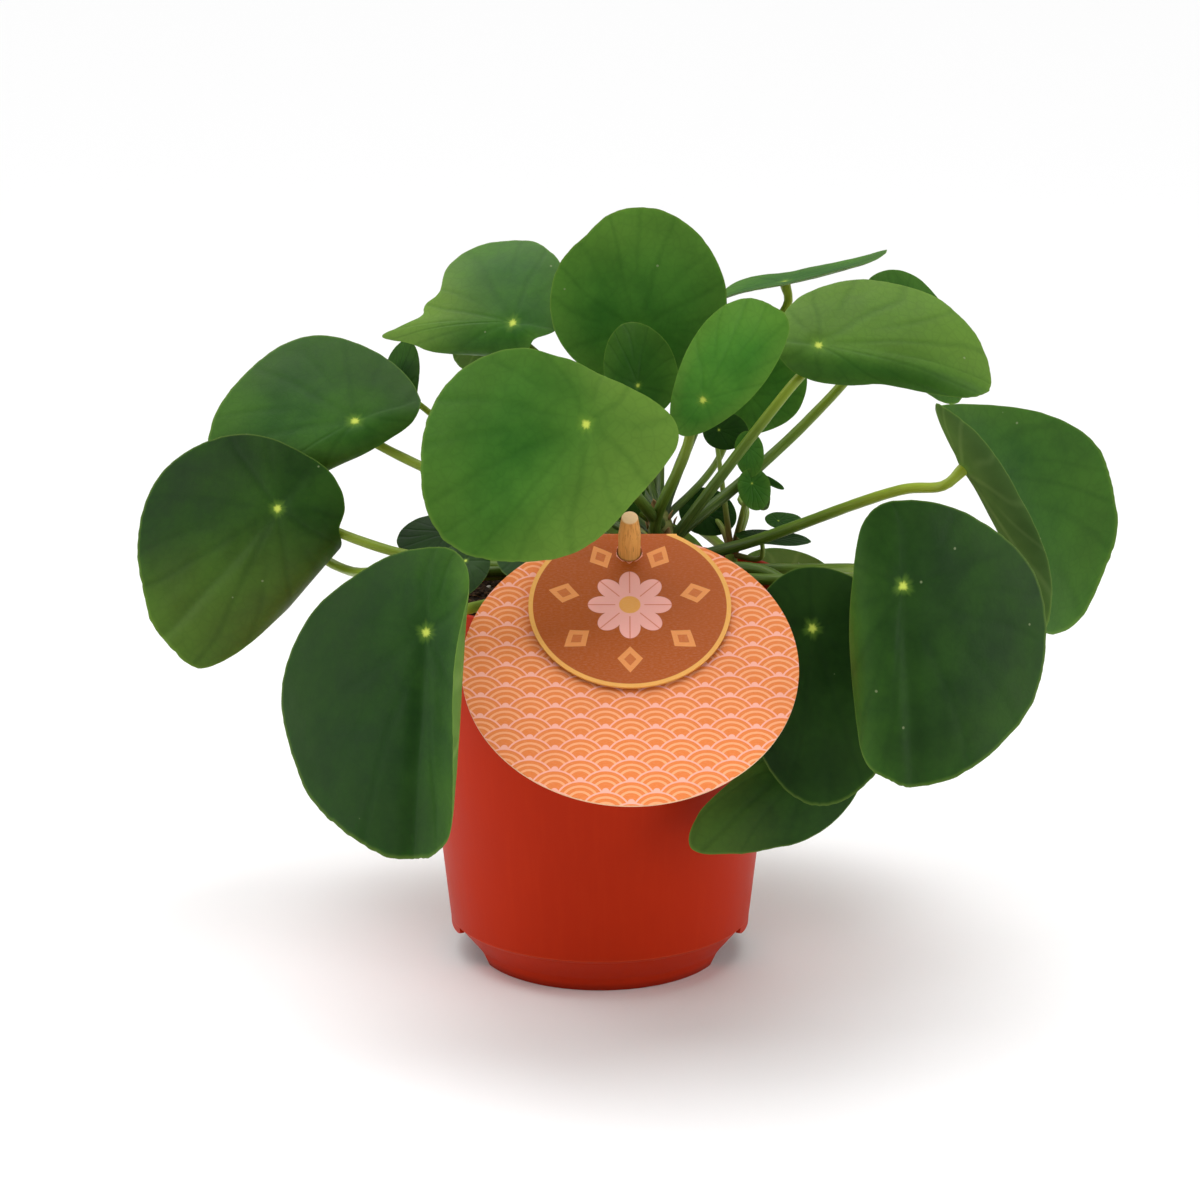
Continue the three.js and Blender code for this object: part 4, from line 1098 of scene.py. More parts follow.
offset_skin = stalk_material("offset_skin", screen(140, 168, 70), screen(130, 150, 62), screen(126, 84, 48))
offset_stem = grow(
    "offset_stem", stalk,
    {"Base Radius": OFFSET_STEM_RADIUS[0], "Tip Radius": OFFSET_STEM_RADIUS[1], "Base Swelling": 0.0,
     "Flare": -0.4, "Flare Reach": 0.1, "Spacing": 0.001, "Finish": offset_skin},
    routes_curve("offset_route", [(smooth_route([OFFSET_ROOT, OFFSET_TOP]), 1.0)]),
)
offset_stalks = grow(
    "offset_stalks", stalk,
    {"Base Radius": OFFSET_STALK_RADIUS * 1.15, "Tip Radius": OFFSET_STALK_RADIUS * 0.75, "Spacing": 0.0012,
     "Sides": 10, "Wobble": 0.0002, "Finish": offset_skin},
    routes_curve("offset_routes", [(stalk_route(row, Vector(OFFSET_STALK_ROOT)), 1.0) for row in OFFSET_LEAVES]),
)
for piece in (offset_stem, offset_stalks):
    settle(piece, "young_leaf", "offset_plant")
for number, row in enumerate(OFFSET_LEAVES):
    seed = OFFSET_SEED_STEP * number + OFFSET_FIRST_SEED
    values = blade_values(row, seed, young_green, Rings=16, Spokes=96, Thickness=OFFSET_BLADE_THICKNESS)
    settle(grow(f"offset_leaf_{number + 1}", blade, values), "young_leaf", "offset_plant")
print("offset:", 2 + len(OFFSET_LEAVES), "pieces")

# %% [markdown]
# ## The pot
# A nursery pot is injection moulded: one thin skin of coloured plastic that tapers towards a stepped foot, so
# that empty pots stack. Such a shape is a section turned about an axis. The section is drawn with sharp
# corners, one helper rounds each by its own radius, and the result is turned. The arches in the foot and the
# drain holes are then cut out, as they are the only things that aren't round.

# %% The pot's section
RIM_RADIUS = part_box("pot")[1].x
POT_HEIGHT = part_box("pot")[1].z
WALL = 0.0014
SHOULDER_RADIUS = 0.0476
SHOULDER_HEIGHT = 0.0127
FOOT_RADIUS = 0.039
RIM_PROUD = 0.0009  # how far the rolled rim stands out of the wall
RIM_BAND = 0.006
POT_SEGMENTS = 192
CORNER_STEPS = 5


def wall_radius(height):
    """The outside of the straight wall at a height."""
    share = (height - SHOULDER_HEIGHT) / (POT_HEIGHT - SHOULDER_HEIGHT)
    return SHOULDER_RADIUS + share * (RIM_RADIUS - RIM_PROUD - SHOULDER_RADIUS)


def rounded(section):
    """A section of (radius, height, rounding) corners as the points of a line with those corners rounded."""
    line = []
    corners = [(Vector((radius, height)), rounding) for radius, height, rounding in section]
    for i, (corner, rounding) in enumerate(corners):
        if not rounding or i in (0, len(corners) - 1):
            line.append(corner)
            continue
        back = (corners[i - 1][0] - corner).normalized()
        ahead = (corners[i + 1][0] - corner).normalized()
        reach = rounding / math.tan(back.angle(ahead) / 2)
        start, end = corner + back * reach, corner + ahead * reach
        for step in range(CORNER_STEPS + 1):
            t = step / CORNER_STEPS
            line.append(start.lerp(corner, t).lerp(corner.lerp(end, t), t))
    return line


def turned(name, line, segments):
    """The line turned about the Z axis. A line that starts and ends on the axis gives a closed shape."""
    shape = bmesh.new()
    rings = []
    for radius, height in line:
        if radius < 1e-6:
            rings.append([shape.verts.new((0, 0, height))])
            continue
        rings.append([shape.verts.new((*polar(radius, TAU * k / segments), height)) for k in range(segments)])
    for low, high in zip(rings, rings[1:]):
        for k in range(segments):
            after = (k + 1) % segments
            corners = [low[k % len(low)], low[after % len(low)], high[after % len(high)], high[k % len(high)]]
            shape.faces.new(dict.fromkeys(corners))
    return as_mesh(name, shape)


rim_foot = POT_HEIGHT - RIM_BAND
floor_top = SHOULDER_HEIGHT + WALL
STACKING_STEP = 0.024  # a step inside, this far under the rim, where the next pot in a stack would rest
pot_section = [
    (0.0, SHOULDER_HEIGHT, 0),
    (0.0448, SHOULDER_HEIGHT, 0.0012),
    (FOOT_RADIUS - WALL, 0.0, 0.0003),
    (FOOT_RADIUS, 0.0, 0.0005),
    (FOOT_RADIUS + 0.0018, 0.0045, 0.006),
    (SHOULDER_RADIUS - 0.001, SHOULDER_HEIGHT - 0.0009, 0.0004),
    (SHOULDER_RADIUS, SHOULDER_HEIGHT - 0.0001, 0.0008),
    (wall_radius(rim_foot) + 0.0001, rim_foot, 0.0006),
    (wall_radius(rim_foot) + RIM_PROUD, rim_foot + 0.0012, 0.0006),
    (RIM_RADIUS, POT_HEIGHT, 0.0009),
    (RIM_RADIUS - RIM_PROUD - WALL, POT_HEIGHT, 0.0008),
    (wall_radius(POT_HEIGHT - STACKING_STEP) - WALL + 0.0002, POT_HEIGHT - STACKING_STEP, 0.0006),
    (wall_radius(POT_HEIGHT - STACKING_STEP) - WALL - 0.0004, POT_HEIGHT - STACKING_STEP - 0.0008, 0.0006),
    (wall_radius(floor_top) - WALL, floor_top, 0.002),
    (0.0, floor_top, 0),
]
pot_line = rounded(pot_section)
print("pot section:", len(pot_line), "points, rim radius", round(RIM_RADIUS, 4))

# %% [markdown]
# The arch and the drain holes are cut with the Boolean modifier's exact solver. Its cutters are plain shapes
# that live only as long as the cut does.

# %% Cut the pot
ARCH_HALF_WIDTH = 0.018
ARCH_HEIGHT = 0.0108
ARCH_CORNER = 0.005
DRAIN_COUNT = 8
DRAIN_RADIUS = 0.004
DRAIN_RING = 0.033  # their middles lie this far from the pot's axis
DRAIN_DEPTH = 0.004


def prism(name, outline, depth):
    """A closed outline in X and Y, as a prism of that depth about the plane z = 0."""
    shape = bmesh.new()
    face = shape.faces.new([shape.verts.new((x, y, -depth / 2)) for x, y in outline])
    top = bmesh.ops.extrude_face_region(shape, geom=[face])["geom"]
    bmesh.ops.translate(shape, vec=(0, 0, depth), verts=[v for v in top if isinstance(v, bmesh.types.BMVert)])
    return as_mesh(name, shape)


def circle(radius, count, rise=0.0):
    """A closed outline in X and Y, with its middle on the Y axis."""
    return [(x, rise + y) for x, y in (polar(radius, TAU * k / count) for k in range(count))]


def cut(mesh, cutters):
    """The mesh with every cutter taken out of it."""
    body = place("cut.body", mesh)
    tools = [place("cut.tool", cutter) for cutter in cutters]
    for tool in tools:
        modifier = body.modifiers.new("cut", "BOOLEAN")
        modifier.operation = "DIFFERENCE"
        modifier.solver = "EXACT"
        modifier.object = tool
    result = bpy.data.meshes.new_from_object(body.evaluated_get(bpy.context.evaluated_depsgraph_get()))
    for helper in (body, *tools):
        bpy.data.objects.remove(helper)
    return result


def arch_cutter():
    side = ARCH_HALF_WIDTH - ARCH_CORNER
    top = ARCH_HEIGHT - ARCH_CORNER
    arc = [(side + x, top + z) for x, z in (polar(ARCH_CORNER, TAU / 4 * k / 8) for k in range(9))]
    right = [(ARCH_HALF_WIDTH, -ARCH_CORNER), *arc]
    mesh = prism("arch", [*right, *[(-x, z) for x, z in reversed(right)]], 3 * RIM_RADIUS)
    mesh.transform(Matrix.Rotation(TAU / 4, 4, "Z") @ Matrix.Rotation(TAU / 4, 4, "X"))
    return mesh


def drain_cutters():
    for k in range(DRAIN_COUNT):
        mesh = prism("drain", circle(DRAIN_RADIUS, 32), DRAIN_DEPTH)
        middle = polar(DRAIN_RING, TAU * (k + 0.5) / DRAIN_COUNT)
        mesh.transform(Matrix.Translation((*middle, SHOULDER_HEIGHT)))
        yield mesh


# %% [markdown]
# Moulded plastic has a satin skin. The mould's polish leaves fine upright marks, and the coloured granules leave
# a few pale specks. The foot's lowest few millimetres are painted darker, a painted shade where the pot meets
# the floor. On the shoulder a hair-fine parting line stands proud where the two halves of the mould met, and
# its lighter colour is a painted highlight.

# %% The pot's material and the finished pot
PARTING_LINE = 0.0128
SHARP_PLASTIC = math.radians(38)
SKIRT_HALF = math.radians(22.3)  # half of what a skirt takes of the pot's round
SKIRT_CORNER = math.radians(12)
SKIRT_STEPS = 28
SKIRT_FOOT = 0.0098
SKIRT_RISE = 0.0009  # how far its lower edge rises at its ends
SKIRT_THICKNESS = 0.0016


def terracotta_plastic():
    material, shader, tree = new_material("terracotta_plastic", Specular_IOR_Level=0.07)
    spot = object_spot(tree)
    upright = noise(spot.do("MULTIPLY", (1.0, 1.0, 0.03)), 420.0, 4.0, 0.6)
    broad = noise(spot, 26.0, 3.0)
    fine = noise(spot, 2600.0, 2.0)
    colour = blend(broad, screen(172, 38, 8), screen(184, 44, 10))
    colour = blend(soft_step(upright, 0.45, 0.75) * 0.14, colour, screen(196, 56, 18))
    dots = flow(tree, "ShaderNodeTexVoronoi", {"Vector": spot, "Scale": 150.0})
    dot_mask = soft_step(dots, 0.02, 0.05, 1.0, 0.0) * soft_step(noise(spot, 60.0), 0.5, 0.6)
    colour = blend(dot_mask * 0.6, colour, screen(214, 120, 84))
    height = parts_of(spot)[2]
    # the parting line: a real ridge in the bump, and a painted highlight in its lighter colour
    parting = soft_step((height - PARTING_LINE).do("ABSOLUTE"), 0.00005, 0.0003, 1.0, 0.0)
    colour = blend(parting * 0.3, colour, screen(204, 88, 52))
    # painted shade: the foot is drawn darker over its lowest 3 mm, where the pot meets the floor
    foot_edge = soft_step(height, 0.0004, 0.003, 1.0, 0.0)
    colour = blend(foot_edge * 0.45, colour, screen(96, 22, 10))
    feed(shader, Base_Color=colour)
    feed(shader, Roughness=soft_step(broad, 0.3, 0.7, 0.36, 0.46) + upright * 0.08)
    feed(shader, Normal=bump(fine * 0.5 + upright * 0.6 + parting, 0.00008, 0.7))
    return material


def side_skirt(middle):
    """A strip that hangs from the wall's foot over an arch, about the angle middle, with round lower corners."""
    top = SHOULDER_HEIGHT + 0.0006
    back = SHOULDER_RADIUS - SKIRT_THICKNESS
    shape = bmesh.new()
    rings = []
    for k in range(SKIRT_STEPS + 1):
        turn = SKIRT_HALF * (2 * k / SKIRT_STEPS - 1)
        past = max(0.0, (abs(turn) - SKIRT_HALF + SKIRT_CORNER) / SKIRT_CORNER)
        low = SKIRT_FOOT + SKIRT_RISE * (1 - math.sqrt(max(0.0, 1 - past * past)))
        section = [(back, low), (SHOULDER_RADIUS - 0.0002, low), (SHOULDER_RADIUS, top), (back, top)]
        rings.append([shape.verts.new((*polar(radius, middle + turn), height)) for radius, height in section])
    skin(shape, rings)
    return as_mesh("side_skirt", shape)


plastic = terracotta_plastic()
for side, middle in (("right", 0.0), ("left", TAU / 2)):
    skirt = place("skirt_" + side, side_skirt(middle))
    shade(skirt.data, SHARP_PLASTIC)
    skirt.data.materials.append(plastic)
    settle(skirt, "pot", "pot")
pot_mesh = cut(turned("pot_skin", pot_line, POT_SEGMENTS), [arch_cutter(), *drain_cutters()])
shade(pot_mesh, SHARP_PLASTIC)
pot_mesh.materials.append(plastic)
settle(place("pot_skin", pot_mesh), "pot", "pot")
print("pot:", len(pot_mesh.polygons), "faces")

# %% [markdown]
# ## Potting soil
# Growers' mix is dark peat and coir with a little perlite. Its surface is a low mound with crumbs of every
# size, so the bed is a turned disc with relief, and Geometry Nodes strew crumbs, white perlite and short
# fibres over it. Each kind is one small mesh with few faces, turned and scaled at random with a fixed seed.

# %% The soil bed
SOIL_LEVEL = 0.11
SOIL_MOUND = 0.0015
SOIL_LUMP = 0.0008
SOIL_GAP = 0.0004
SOIL_RELIEF = 0.0022
SOIL_RINGS = 70


def soil_top(x, y):
    """The height of the soil's uneven top: a mound with lumps of three widths."""
    x, y = x * 1000, y * 1000
    lumps = math.cos(x * 0.47 + y * 0.41)
    lumps += math.sin(x * 0.31 + 1) * math.cos(y * 0.27)
    lumps += math.sin(x * 0.13 - y * 0.19)
    mound = SOIL_MOUND * (1 - (x * x + y * y) / (RIM_RADIUS * 1000) ** 2)
    return SOIL_LEVEL + mound + SOIL_LUMP * lumps


def soil_bed_mesh():
    edge = wall_radius(SOIL_LEVEL) - WALL - SOIL_GAP
    foot = floor_top + 0.003
    line = [Vector((0.0, foot)), Vector((wall_radius(foot) - WALL - 0.0006, foot))]
    line += [Vector((edge * (SOIL_RINGS - k) / SOIL_RINGS, SOIL_LEVEL)) for k in range(SOIL_RINGS + 1)]
    mesh = turned("soil_bed", line, POT_SEGMENTS)
    for vertex in mesh.vertices:
        if vertex.co.z > SOIL_LEVEL - 0.001:
            vertex.co.z = soil_top(vertex.co.x, vertex.co.y)
    return mesh


def rough_soil_tree(material):
    """Relief on the soil's top: lumps and cracks that run out at its sides."""
    tree, given, result = new_group("rough soil", {"Bed": SHAPE}, {"Soil": SHAPE})
    position = point_place(tree)
    top = soft_step(parts_of(position)[2], SOIL_LEVEL - 0.004, SOIL_LEVEL - 0.0015)
    lumps = noise(position, 210.0, 4.0, 0.65) - 0.5
    relief = vector_of(tree, 0.0, 0.0, lumps * SOIL_RELIEF * 2.0 * top)
    finished(move(given["Bed"], relief), result, material)
    return tree


def peat_material(name, dark, light, height=0.0006):
    material, shader, tree = new_material(name, Roughness=0.92, Specular_IOR_Level=0.2)
    spot = object_spot(tree)
    coarse = noise(spot, 320.0, 5.0, 0.7)
    patches = noise(spot, 45.0, 2.0)
    colour = blend(soft_step(coarse, 0.35, 0.65), dark, light)
    colour = blend(soft_step(patches, 0.45, 0.7) * 0.4, colour, screen(58, 40, 26))
    feed(shader, Base_Color=colour)
    feed(shader, Normal=bump(coarse, height, 0.9))
    return material


peat = peat_material("peat", screen(26, 19, 14), screen(56, 42, 31))
soil_bed = grow("soil_bed", rough_soil_tree(peat), {}, soil_bed_mesh())
settle(soil_bed, "soil", "soil")
print("soil bed:", len(soil_bed.data.polygons), "faces")

# %% Crumbs, perlite and fibres
def crumb_mesh(name, subdivisions, flatness, seed):
    """A small rough lump of a few dozen faces, 2 across."""
    shape = bmesh.new()
    bmesh.ops.create_icosphere(shape, subdivisions=subdivisions, radius=1.0)
    for k, vertex in enumerate(shape.verts):
        vertex.co *= 0.75 + 0.25 * math.sin(k * 2.4 + seed) * math.cos(k * 1.3 - seed)
        vertex.co.z *= flatness
    return as_mesh(name, shape, closed=False)


def fibre_mesh():
    """A short bent fibre with four sides, lying along X, 2 long."""
    shape = bmesh.new()
    rings = []
    for k in range(7):
        x = -1 + k / 3
        bend = 0.28 * math.sin(2.1 * x) + 0.1 * math.cos(4 * x)
        half = 0.05 * (1.1 - abs(x))
        corners = ((half, 0), (0, half), (-half, 0), (0, -half))
        rings.append([shape.verts.new((x, bend + a, 0.1 * math.cos(2 * x) + b)) for a, b in corners])
    skin(shape, rings)
    return as_mesh("fibre", shape)


STREWN_INPUTS = {"Density": 100000.0, "Apart": 0.001, "Smallest": 0.0005, "Largest": 0.0015, "Seed": 1}
EDGE_GAP = 0.0035  # the strip along the wall that stays bare
MOST_LEAN = 0.5  # radians


def strewn_tree(name, material, one):
    """Copies of one small mesh strewn over the top of the bed, turned and sized at random."""
    tree, given, result = new_group(name, {"Bed": SHAPE, **STREWN_INPUTS}, {"Strewn": SHAPE})
    position = point_place(tree)
    height = parts_of(position)[2]
    radius = level(position).do("LENGTH", out=1)
    inside = radius.do("LESS_THAN", wall_radius(SOIL_LEVEL) - EDGE_GAP)
    on_top = height.do("GREATER_THAN", SOIL_LEVEL - 0.003) * inside
    feeds = {0: given["Bed"], 1: on_top, 2: given["Apart"], 3: given["Density"], 6: given["Seed"]}
    points = add(tree, "GeometryNodeDistributePointsOnFaces", feeds, distribute_method="POISSON")
    feeds = {0: (-MOST_LEAN, -MOST_LEAN, 0.0), 1: (MOST_LEAN, MOST_LEAN, TAU), 8: given["Seed"]}
    turn = flow(tree, "FunctionNodeRandomValue", feeds, data_type="FLOAT_VECTOR")
    feeds = {2: given["Smallest"], 3: given["Largest"], 8: given["Seed"]}
    size = flow(tree, "FunctionNodeRandomValue", feeds, out=1, data_type="FLOAT")
    rotation = flow(tree, "FunctionNodeEulerToRotation", {0: turn})
    finished(strew(points.outputs[0], one, rotation, size), result, material)
    return tree


crumb_peat = peat_material("crumb_peat", screen(34, 25, 18), screen(78, 58, 42), 0.0004)
perlite_white = peat_material("perlite_white", screen(196, 188, 172), screen(236, 230, 218), 0.0003)
fibre_brown = peat_material("fibre_brown", screen(84, 58, 34), screen(134, 98, 62), 0.0002)
STREWN = {  # what is strewn: its mesh and its finish, how many to a square metre, the least gap, two sizes, a seed
    "soil_crumbs": (crumb_mesh("crumb", 1, 0.8, 1.0), crumb_peat, 320000.0, 0.0011, 0.0005, 0.0016, 11),
    "soil_lumps": (crumb_mesh("lump", 2, 0.7, 2.0), crumb_peat, 9000.0, 0.005, 0.0016, 0.0032, 5),
    "soil_perlite": (crumb_mesh("perlite", 1, 0.85, 3.0), perlite_white, 12000.0, 0.003, 0.0005, 0.0014, 23),
    "soil_fibres": (fibre_mesh(), fibre_brown, 26000.0, 0.002, 0.0018, 0.0048, 31),
}
for name, (mesh, finish, *values) in STREWN.items():
    one = place(name + ".one", mesh)
    inputs = dict(zip(STREWN_INPUTS, values))
    piece = grow(name, strewn_tree(name, finish, one), inputs, soil_bed.data.copy())
    bpy.data.objects.remove(one)
    settle(piece, "soil", "soil")
    print(name, len(piece.data.polygons), "faces")

# %% [markdown]
# ## The card
# A round card of stout printed board leans on the rim, with its upper part folded forwards and down as a
# flap. Because it is one folded sheet, it is made as one: a strip that runs up the big disc, round the fold
# and down the flap, as wide at every point as the cut sheet is there. Solidify then gives it the board's
# thickness, with one finish for each side and a bare paper core at the cut edge.

# %% The card's sheet
CARD_RADIUS = 0.048
FLAP_RADIUS = 0.0293
CARD_THICKNESS = 0.0006
CARD_CENTRE = (0.0086, -0.0714, 0.1119)
CARD_SLOPE = math.radians(38.6)
FOLD_LINE = CARD_RADIUS - 0.0021  # the card's own height of the fold, from the disc's centre
HALF_FOLD = math.sqrt(CARD_RADIUS ** 2 - FOLD_LINE ** 2)
FLAP_CENTRE = FOLD_LINE - math.sqrt(FLAP_RADIUS ** 2 - HALF_FOLD ** 2)
HOLE_LINE = FOLD_LINE - 0.0062
FOLD_RADIUS = 0.0009
CARD_COLUMNS = 72
CARD_ROWS = (90, 8, 64)  # in the disc, the fold and the flap
FLAP_SPRING = -0.0004  # how much further than at the fold the flap's lower edge stands off
card_frame = Matrix.Translation(CARD_CENTRE) @ Matrix.Rotation(CARD_SLOPE, 4, "X")


def card_rows():
    """The sheet's rows, from the disc's foot over the fold to the flap's foot.

    Each has its half width, height and lift, its height on the print, and 0 for the disc or 1 for the flap.
    """
    disc_rows, fold_rows, flap_rows = CARD_ROWS
    rows = []
    for k in range(disc_rows + 1):
        up = -CARD_RADIUS * math.cos(k / disc_rows * math.acos(-FOLD_LINE / CARD_RADIUS))
        rows.append((math.sqrt(max(CARD_RADIUS ** 2 - up ** 2, 0)), up, 0.0, up, 0))
    for k in range(1, fold_rows):
        turn = math.pi * k / fold_rows
        up = FOLD_LINE + FOLD_RADIUS * math.sin(turn)
        rows.append((HALF_FOLD, up, FOLD_RADIUS * (1 - math.cos(turn)), FOLD_LINE, 1))
    start = math.acos((FOLD_LINE - FLAP_CENTRE) / FLAP_RADIUS)
    for k in range(flap_rows + 1):
        turn = start + (math.pi - start) * k / flap_rows
        up = FLAP_CENTRE + FLAP_RADIUS * math.cos(turn)
        share = (FOLD_LINE - up) / (FOLD_LINE - FLAP_CENTRE + FLAP_RADIUS)
        lift = 2 * FOLD_RADIUS + FLAP_SPRING * share ** 1.5
        rows.append((FLAP_RADIUS * math.sin(turn), up, lift, up, 1))
    return rows


def card_mesh():
    """The folded sheet without its thickness. Every point knows its place on the print."""
    shape = bmesh.new()
    printed = shape.verts.layers.float_vector.new("print")
    low = None
    for half, up, lift, on_print, side in card_rows():
        high = []
        for k in range(CARD_COLUMNS + 1):
            x = -half * math.cos(math.pi * k / CARD_COLUMNS)
            vertex = shape.verts.new((x, up, lift))
            vertex[printed] = (x, on_print, 0.0)
            high.append(vertex)
        for k in range(CARD_COLUMNS if low else 0):
            shape.faces.new((low[k], low[k + 1], high[k + 1], high[k])).material_index = side
        low = high
    bmesh.ops.remove_doubles(shape, verts=shape.verts, dist=1e-6)
    shape.transform(Matrix.Translation((0, 0, CARD_THICKNESS / 2 + 0.0001)))
    return as_mesh("card_sheet", shape, closed=False)


sheet_mesh = card_mesh()
print("card sheet:", len(sheet_mesh.polygons), "faces")

# %% [markdown]
# The print is a traditional wave pattern: rows of overlapping scales, each scale a set of rings, and each row
# standing in front of the one above it. A material can draw it with sums alone: for each point it finds how
# far it is from the nearest scale's centre in three neighbouring rows, and the lowest scale that reaches the
# point is the one that shows. The rings are then bands of that distance.

# %% The wave print
SCALE_RADIUS = 0.00704
ROW_SPACING = 0.0036
RINGS = (  # from the middle of a scale outwards: share of its radius, and which ink
    (0.0, "pink"), (0.14, "orange"), (0.42, "light"), (0.52, "orange"), (0.675, "light"), (0.775, "orange"),
    (0.925, "pink"),
)
INKS = {"pink": screen(252, 180, 160), "orange": screen(236, 131, 64), "light": screen(251, 172, 122)}


def rings_of(distance, bands):
    """Flat bands of colour by distance, from 0 to 1."""
    node = add(distance.tree, "ShaderNodeValToRGB", {0: distance})
    ramp = node.color_ramp
    ramp.interpolation = "CONSTANT"
    while len(ramp.elements) < len(bands):
        ramp.elements.new(1.0)
    for element, (position, colour) in zip(ramp.elements, bands):
        element.position = position
        element.color = colour
    return Flow(distance.tree, node.outputs[0])


def wave_print(spot):
    """The colour of the wave pattern at a spot on the sheet, in metres."""
    tree = spot.tree
    x, y, _ = parts_of(spot)
    row = (y / ROW_SPACING).do("FLOOR")

    def scale_in(number):
        middle = (x / (2 * SCALE_RADIUS) + (number * 0.5 + 100.0).do("FRACT") + 100.0).do("FRACT") - 0.5
        across = middle * (2 * SCALE_RADIUS)
        return vector_of(tree, across, y - number * ROW_SPACING).do("LENGTH", out=1) / SCALE_RADIUS

    front, middle, behind = scale_in(row - 1.0), scale_in(row), scale_in(row + 1.0)
    shows = front.do("LESS_THAN", 1.0)
    shows_next = middle.do("LESS_THAN", 1.0)
    back = shows_next * (middle - behind) + behind
    distance = shows * (front - back) + back
    return rings_of(distance, [(share, INKS[ink]) for share, ink in RINGS])


# %% [markdown]
# The flap carries a medallion of plain design: a gold ring on brown, a pink rosette of eight petals, and
# small lozenges between them. Each motif is a shape whose edge is where a sum crosses zero. Under both
# prints lies the same board: a faint fibre in its colour, a soft gloss and a surface that isn't quite even.

# %% The card's materials
def edge(value, softness=0.00012):
    """1 where the value is below zero and 0 above it, with a thin soft edge."""
    return soft_step(value, -softness, softness, 1.0, 0.0)


LOZENGES = 7
RING_INSIDE = 0.028
RING_GOLD = screen(240, 176, 88)


def medallion_print(spot):
    """A rosette with lozenges round it, in a gold ring, about the flap's centre."""
    tree = spot.tree
    x, y, _ = parts_of(spot)
    y = y - FLAP_CENTRE
    radius = vector_of(tree, x, y).do("LENGTH", out=1)
    angle = y.do("ARCTAN2", x)
    petal = (angle * 4.0).do("COSINE").do("ABSOLUTE") ** 0.7 * 0.0045 + 0.0076
    rosette = edge(radius - petal)
    vein = edge((angle * 4.0).do("SINE").do("ABSOLUTE") * radius - 0.0007) * edge(0.0042 - radius)
    heart = edge(radius - 0.0031)
    around = ((angle / TAU * LOZENGES + 100.25).do("FRACT") - 0.5) * (TAU / LOZENGES) * radius
    from_lozenge = around.do("ABSOLUTE") * 1.25 + (radius - 0.0195).do("ABSOLUTE")
    lozenge = edge(from_lozenge - 0.0046)
    small = edge(from_lozenge - 0.0022)
    ring = edge(RING_INSIDE - radius)
    colour = blend(ring, screen(176, 85, 26), RING_GOLD)
    colour = blend(rosette, colour, screen(248, 178, 166))
    colour = blend(vein * rosette, colour, screen(224, 132, 108))
    colour = blend(heart, colour, screen(236, 166, 84))
    colour = blend(lozenge, colour, screen(236, 152, 84))
    return blend(small, colour, screen(206, 112, 54))


def board_material(name, draw):
    """Printed board: draw gives the ink's colour at a spot of the sheet."""
    material, shader, tree = new_material(name, Specular_IOR_Level=0.1)
    spot = attribute(tree, "print", "Vector")
    fibre = noise(spot.do("MULTIPLY", (1.0, 2.5, 1.0)), 900.0, 4.0, 0.65)
    cloud = noise(spot, 60.0, 2.0)
    colour = blend(soft_step(fibre, 0.4, 0.8) * 0.07, draw(spot), screen(255, 235, 215))
    colour = blend(soft_step(cloud, 0.4, 0.7) * 0.06, colour, screen(190, 100, 60))
    feed(shader, Base_Color=colour)
    feed(shader, Roughness=soft_step(fibre, 0.3, 0.7, 0.42, 0.5))
    feed(shader, Normal=bump(fibre * 0.6 + cloud * 0.4, 0.00005, 0.6))
    return material


def unprinted(dark, light):
    """The board's own colour, mottled between two near ones."""
    return lambda spot: blend(noise(spot, 500.0, 3.0), dark, light)


card_finishes = [
    board_material("wave_print", wave_print),
    board_material("bare_board", unprinted(screen(228, 212, 192), screen(240, 228, 212))),
    board_material("medallion_print", medallion_print),
    board_material("board_core", unprinted(screen(226, 176, 134), screen(242, 200, 162))),
    board_material("gold_edge", unprinted(screen(226, 158, 72), RING_GOLD)),
]
print("card finishes:", ", ".join(finish.name for finish in card_finishes))

# %% Fold, thicken and pierce the card
HOLE_RADIUS = 0.0037
SHARP_BOARD = math.radians(35)


def thick_card(mesh):
    """The sheet with the board's thickness. The shell and the cut edge take later finishes."""
    helper = place("card.helper", mesh)
    for finish in card_finishes:
        mesh.materials.append(finish)
    solid = helper.modifiers.new("board", "SOLIDIFY")
    solid.thickness = CARD_THICKNESS
    solid.offset = 0.0
    solid.material_offset = 1
    solid.material_offset_rim = 3
    result = bpy.data.meshes.new_from_object(helper.evaluated_get(bpy.context.evaluated_depsgraph_get()))
    bpy.data.objects.remove(helper)
    return result


punch = prism("punch", circle(HOLE_RADIUS, 48, HOLE_LINE), 0.02)
# painted shade: the hole's wall takes the medallion's dark brown in place of the pale core, at the stick's foot
for face in punch.polygons:
    face.material_index = 2  # the hole's wall takes the medallion's brown
card_solid = cut(thick_card(sheet_mesh), [punch])
card_solid.transform(card_frame)
shade(card_solid, SHARP_BOARD)
settle(place("folded_card", card_solid), "card", "card")
print("card:", len(card_solid.polygons), "faces")

# %% [markdown]
# ## The stick
# A turned dowel of pale wood holds the card. Its grain runs along it, so the noise that draws the fibres is
# stretched along the stick, in a space whose axis is the stick's own. The end is tapered, a little worn, and
# the cut face shows end grain, drawn lighter: partly the end grain's own colour and partly a painted
# highlight where the top faces the light.

# %% The stick
STICK_RADIUS = 0.0033
STICK_LENGTH = 0.108
STICK_TOP = 0.016 + 2 * 0.0007 + 0.0011  # above the card's back, as in the CAD model
STICK_SEGMENTS = 64
STICK_SPACING = 0.0012  # the most from one ring of its points to the next
stick_frame = card_frame @ Matrix.Translation((0, HOLE_LINE, 0))


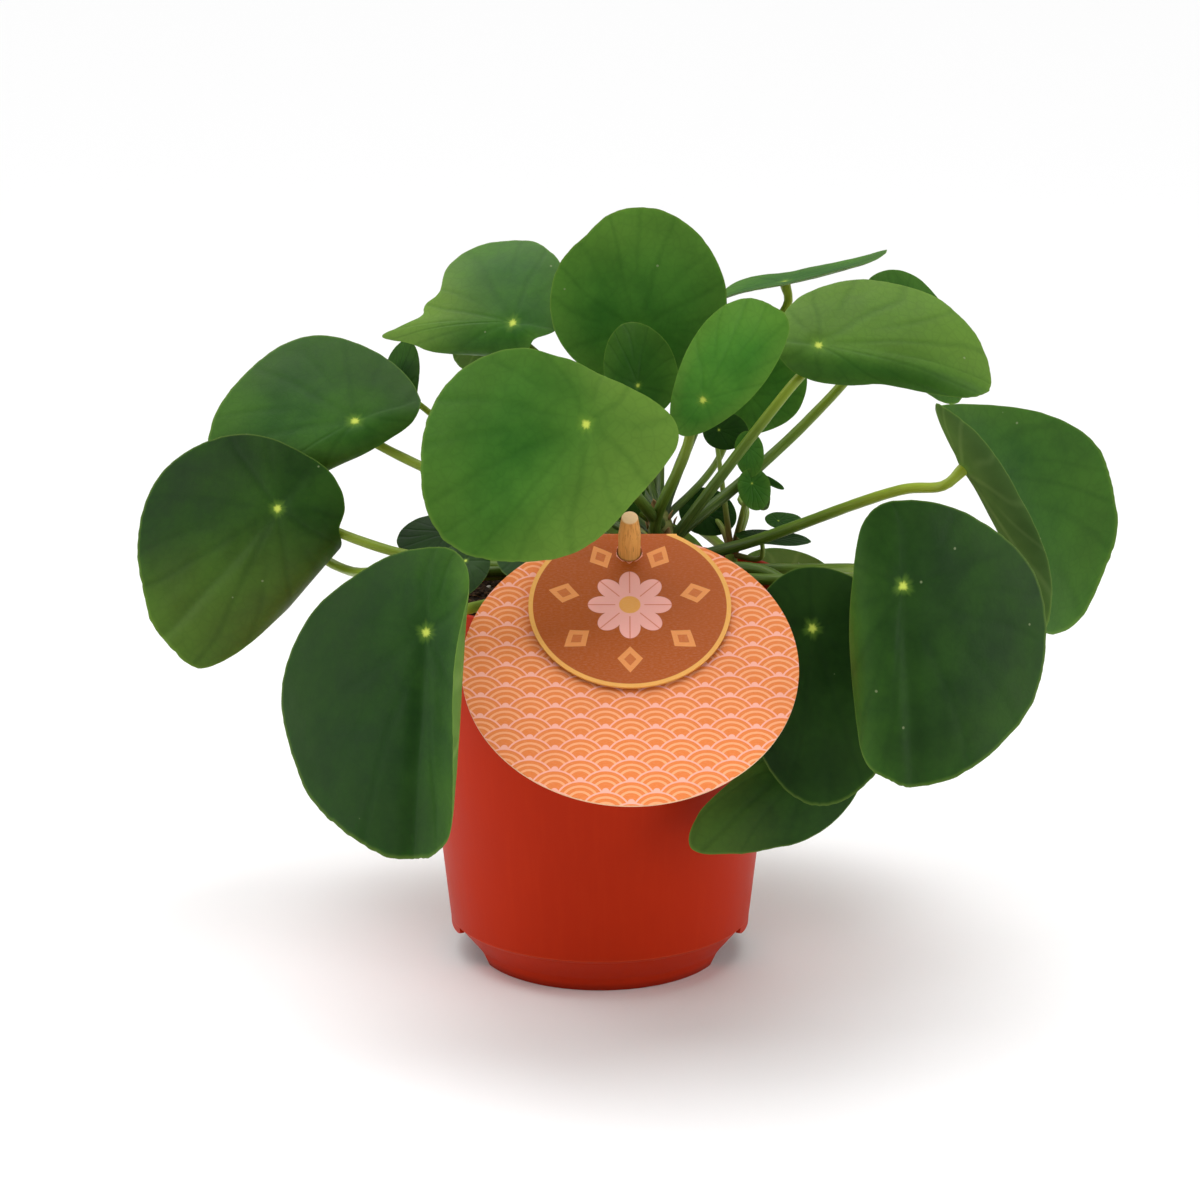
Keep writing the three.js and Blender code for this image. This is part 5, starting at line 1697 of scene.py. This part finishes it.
def stick_mesh():
    """The tapered dowel. Every point keeps its own place, for the grain."""
    bottom = STICK_TOP - STICK_LENGTH
    section = [
        (0.0, bottom, 0), (0.0008, bottom, 0.0003), (STICK_RADIUS, bottom + 0.014, 0.004),
        (STICK_RADIUS, STICK_TOP - 0.008, 0.004), (0.0024, STICK_TOP - 0.0002, 0.0005), (0.0, STICK_TOP, 0),
    ]
    line = rounded(section)
    fine = []
    for low, high in zip(line, line[1:]):
        steps = max(1, math.ceil((high - low).length / STICK_SPACING))
        fine += [low.lerp(high, k / steps) for k in range(steps)]
    mesh = turned("stick", [*fine, line[-1]], STICK_SEGMENTS)
    grain = mesh.attributes.new("grain", "FLOAT_VECTOR", "POINT")
    for vertex, entry in zip(mesh.vertices, grain.data):
        entry.vector = vertex.co
    return mesh


def wood_material():
    material, shader, tree = new_material("pale_wood", Specular_IOR_Level=0.3)
    spot = attribute(tree, "grain", "Vector")
    fibres = noise(spot.do("MULTIPLY", (1.0, 1.0, 0.035)), 1500.0, 4.0, 0.6)
    rings = noise(spot.do("MULTIPLY", (1.0, 0.4, 0.05)), 420.0, 3.0)
    pores = noise(spot.do("MULTIPLY", (1.0, 1.0, 0.06)), 3200.0, 2.0)
    colour = blend(rings, screen(208, 144, 66), screen(240, 184, 102))
    colour = blend(soft_step(fibres, 0.45, 0.7) * 0.55, colour, screen(172, 104, 44))
    colour = blend(soft_step(pores, 0.62, 0.7) * 0.6, colour, screen(120, 74, 36))
    # the top is drawn lighter: partly end grain, partly a painted highlight where the top faces the light
    end_grain = soft_step(parts_of(spot)[2], STICK_TOP - 0.0006, STICK_TOP - 0.0002)
    colour = blend(end_grain * 0.8, colour, screen(242, 206, 156))
    feed(shader, Base_Color=colour)
    feed(shader, Roughness=soft_step(fibres, 0.3, 0.7, 0.5, 0.68))
    feed(shader, Normal=bump(fibres * 0.7 + pores * 0.3, 0.00012, 0.7))
    return material


stick_solid = stick_mesh()
stick_solid.transform(stick_frame)
stick_solid.shade_smooth()
stick_solid.materials.append(wood_material())
settle(place("wooden_stick", stick_solid), "stick", "stick")
print("stick:", len(stick_solid.polygons), "faces")

# %% Print the visual box
visual_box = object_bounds()
print("visual box:", [[round(c, 4) for c in corner] for corner in visual_box])
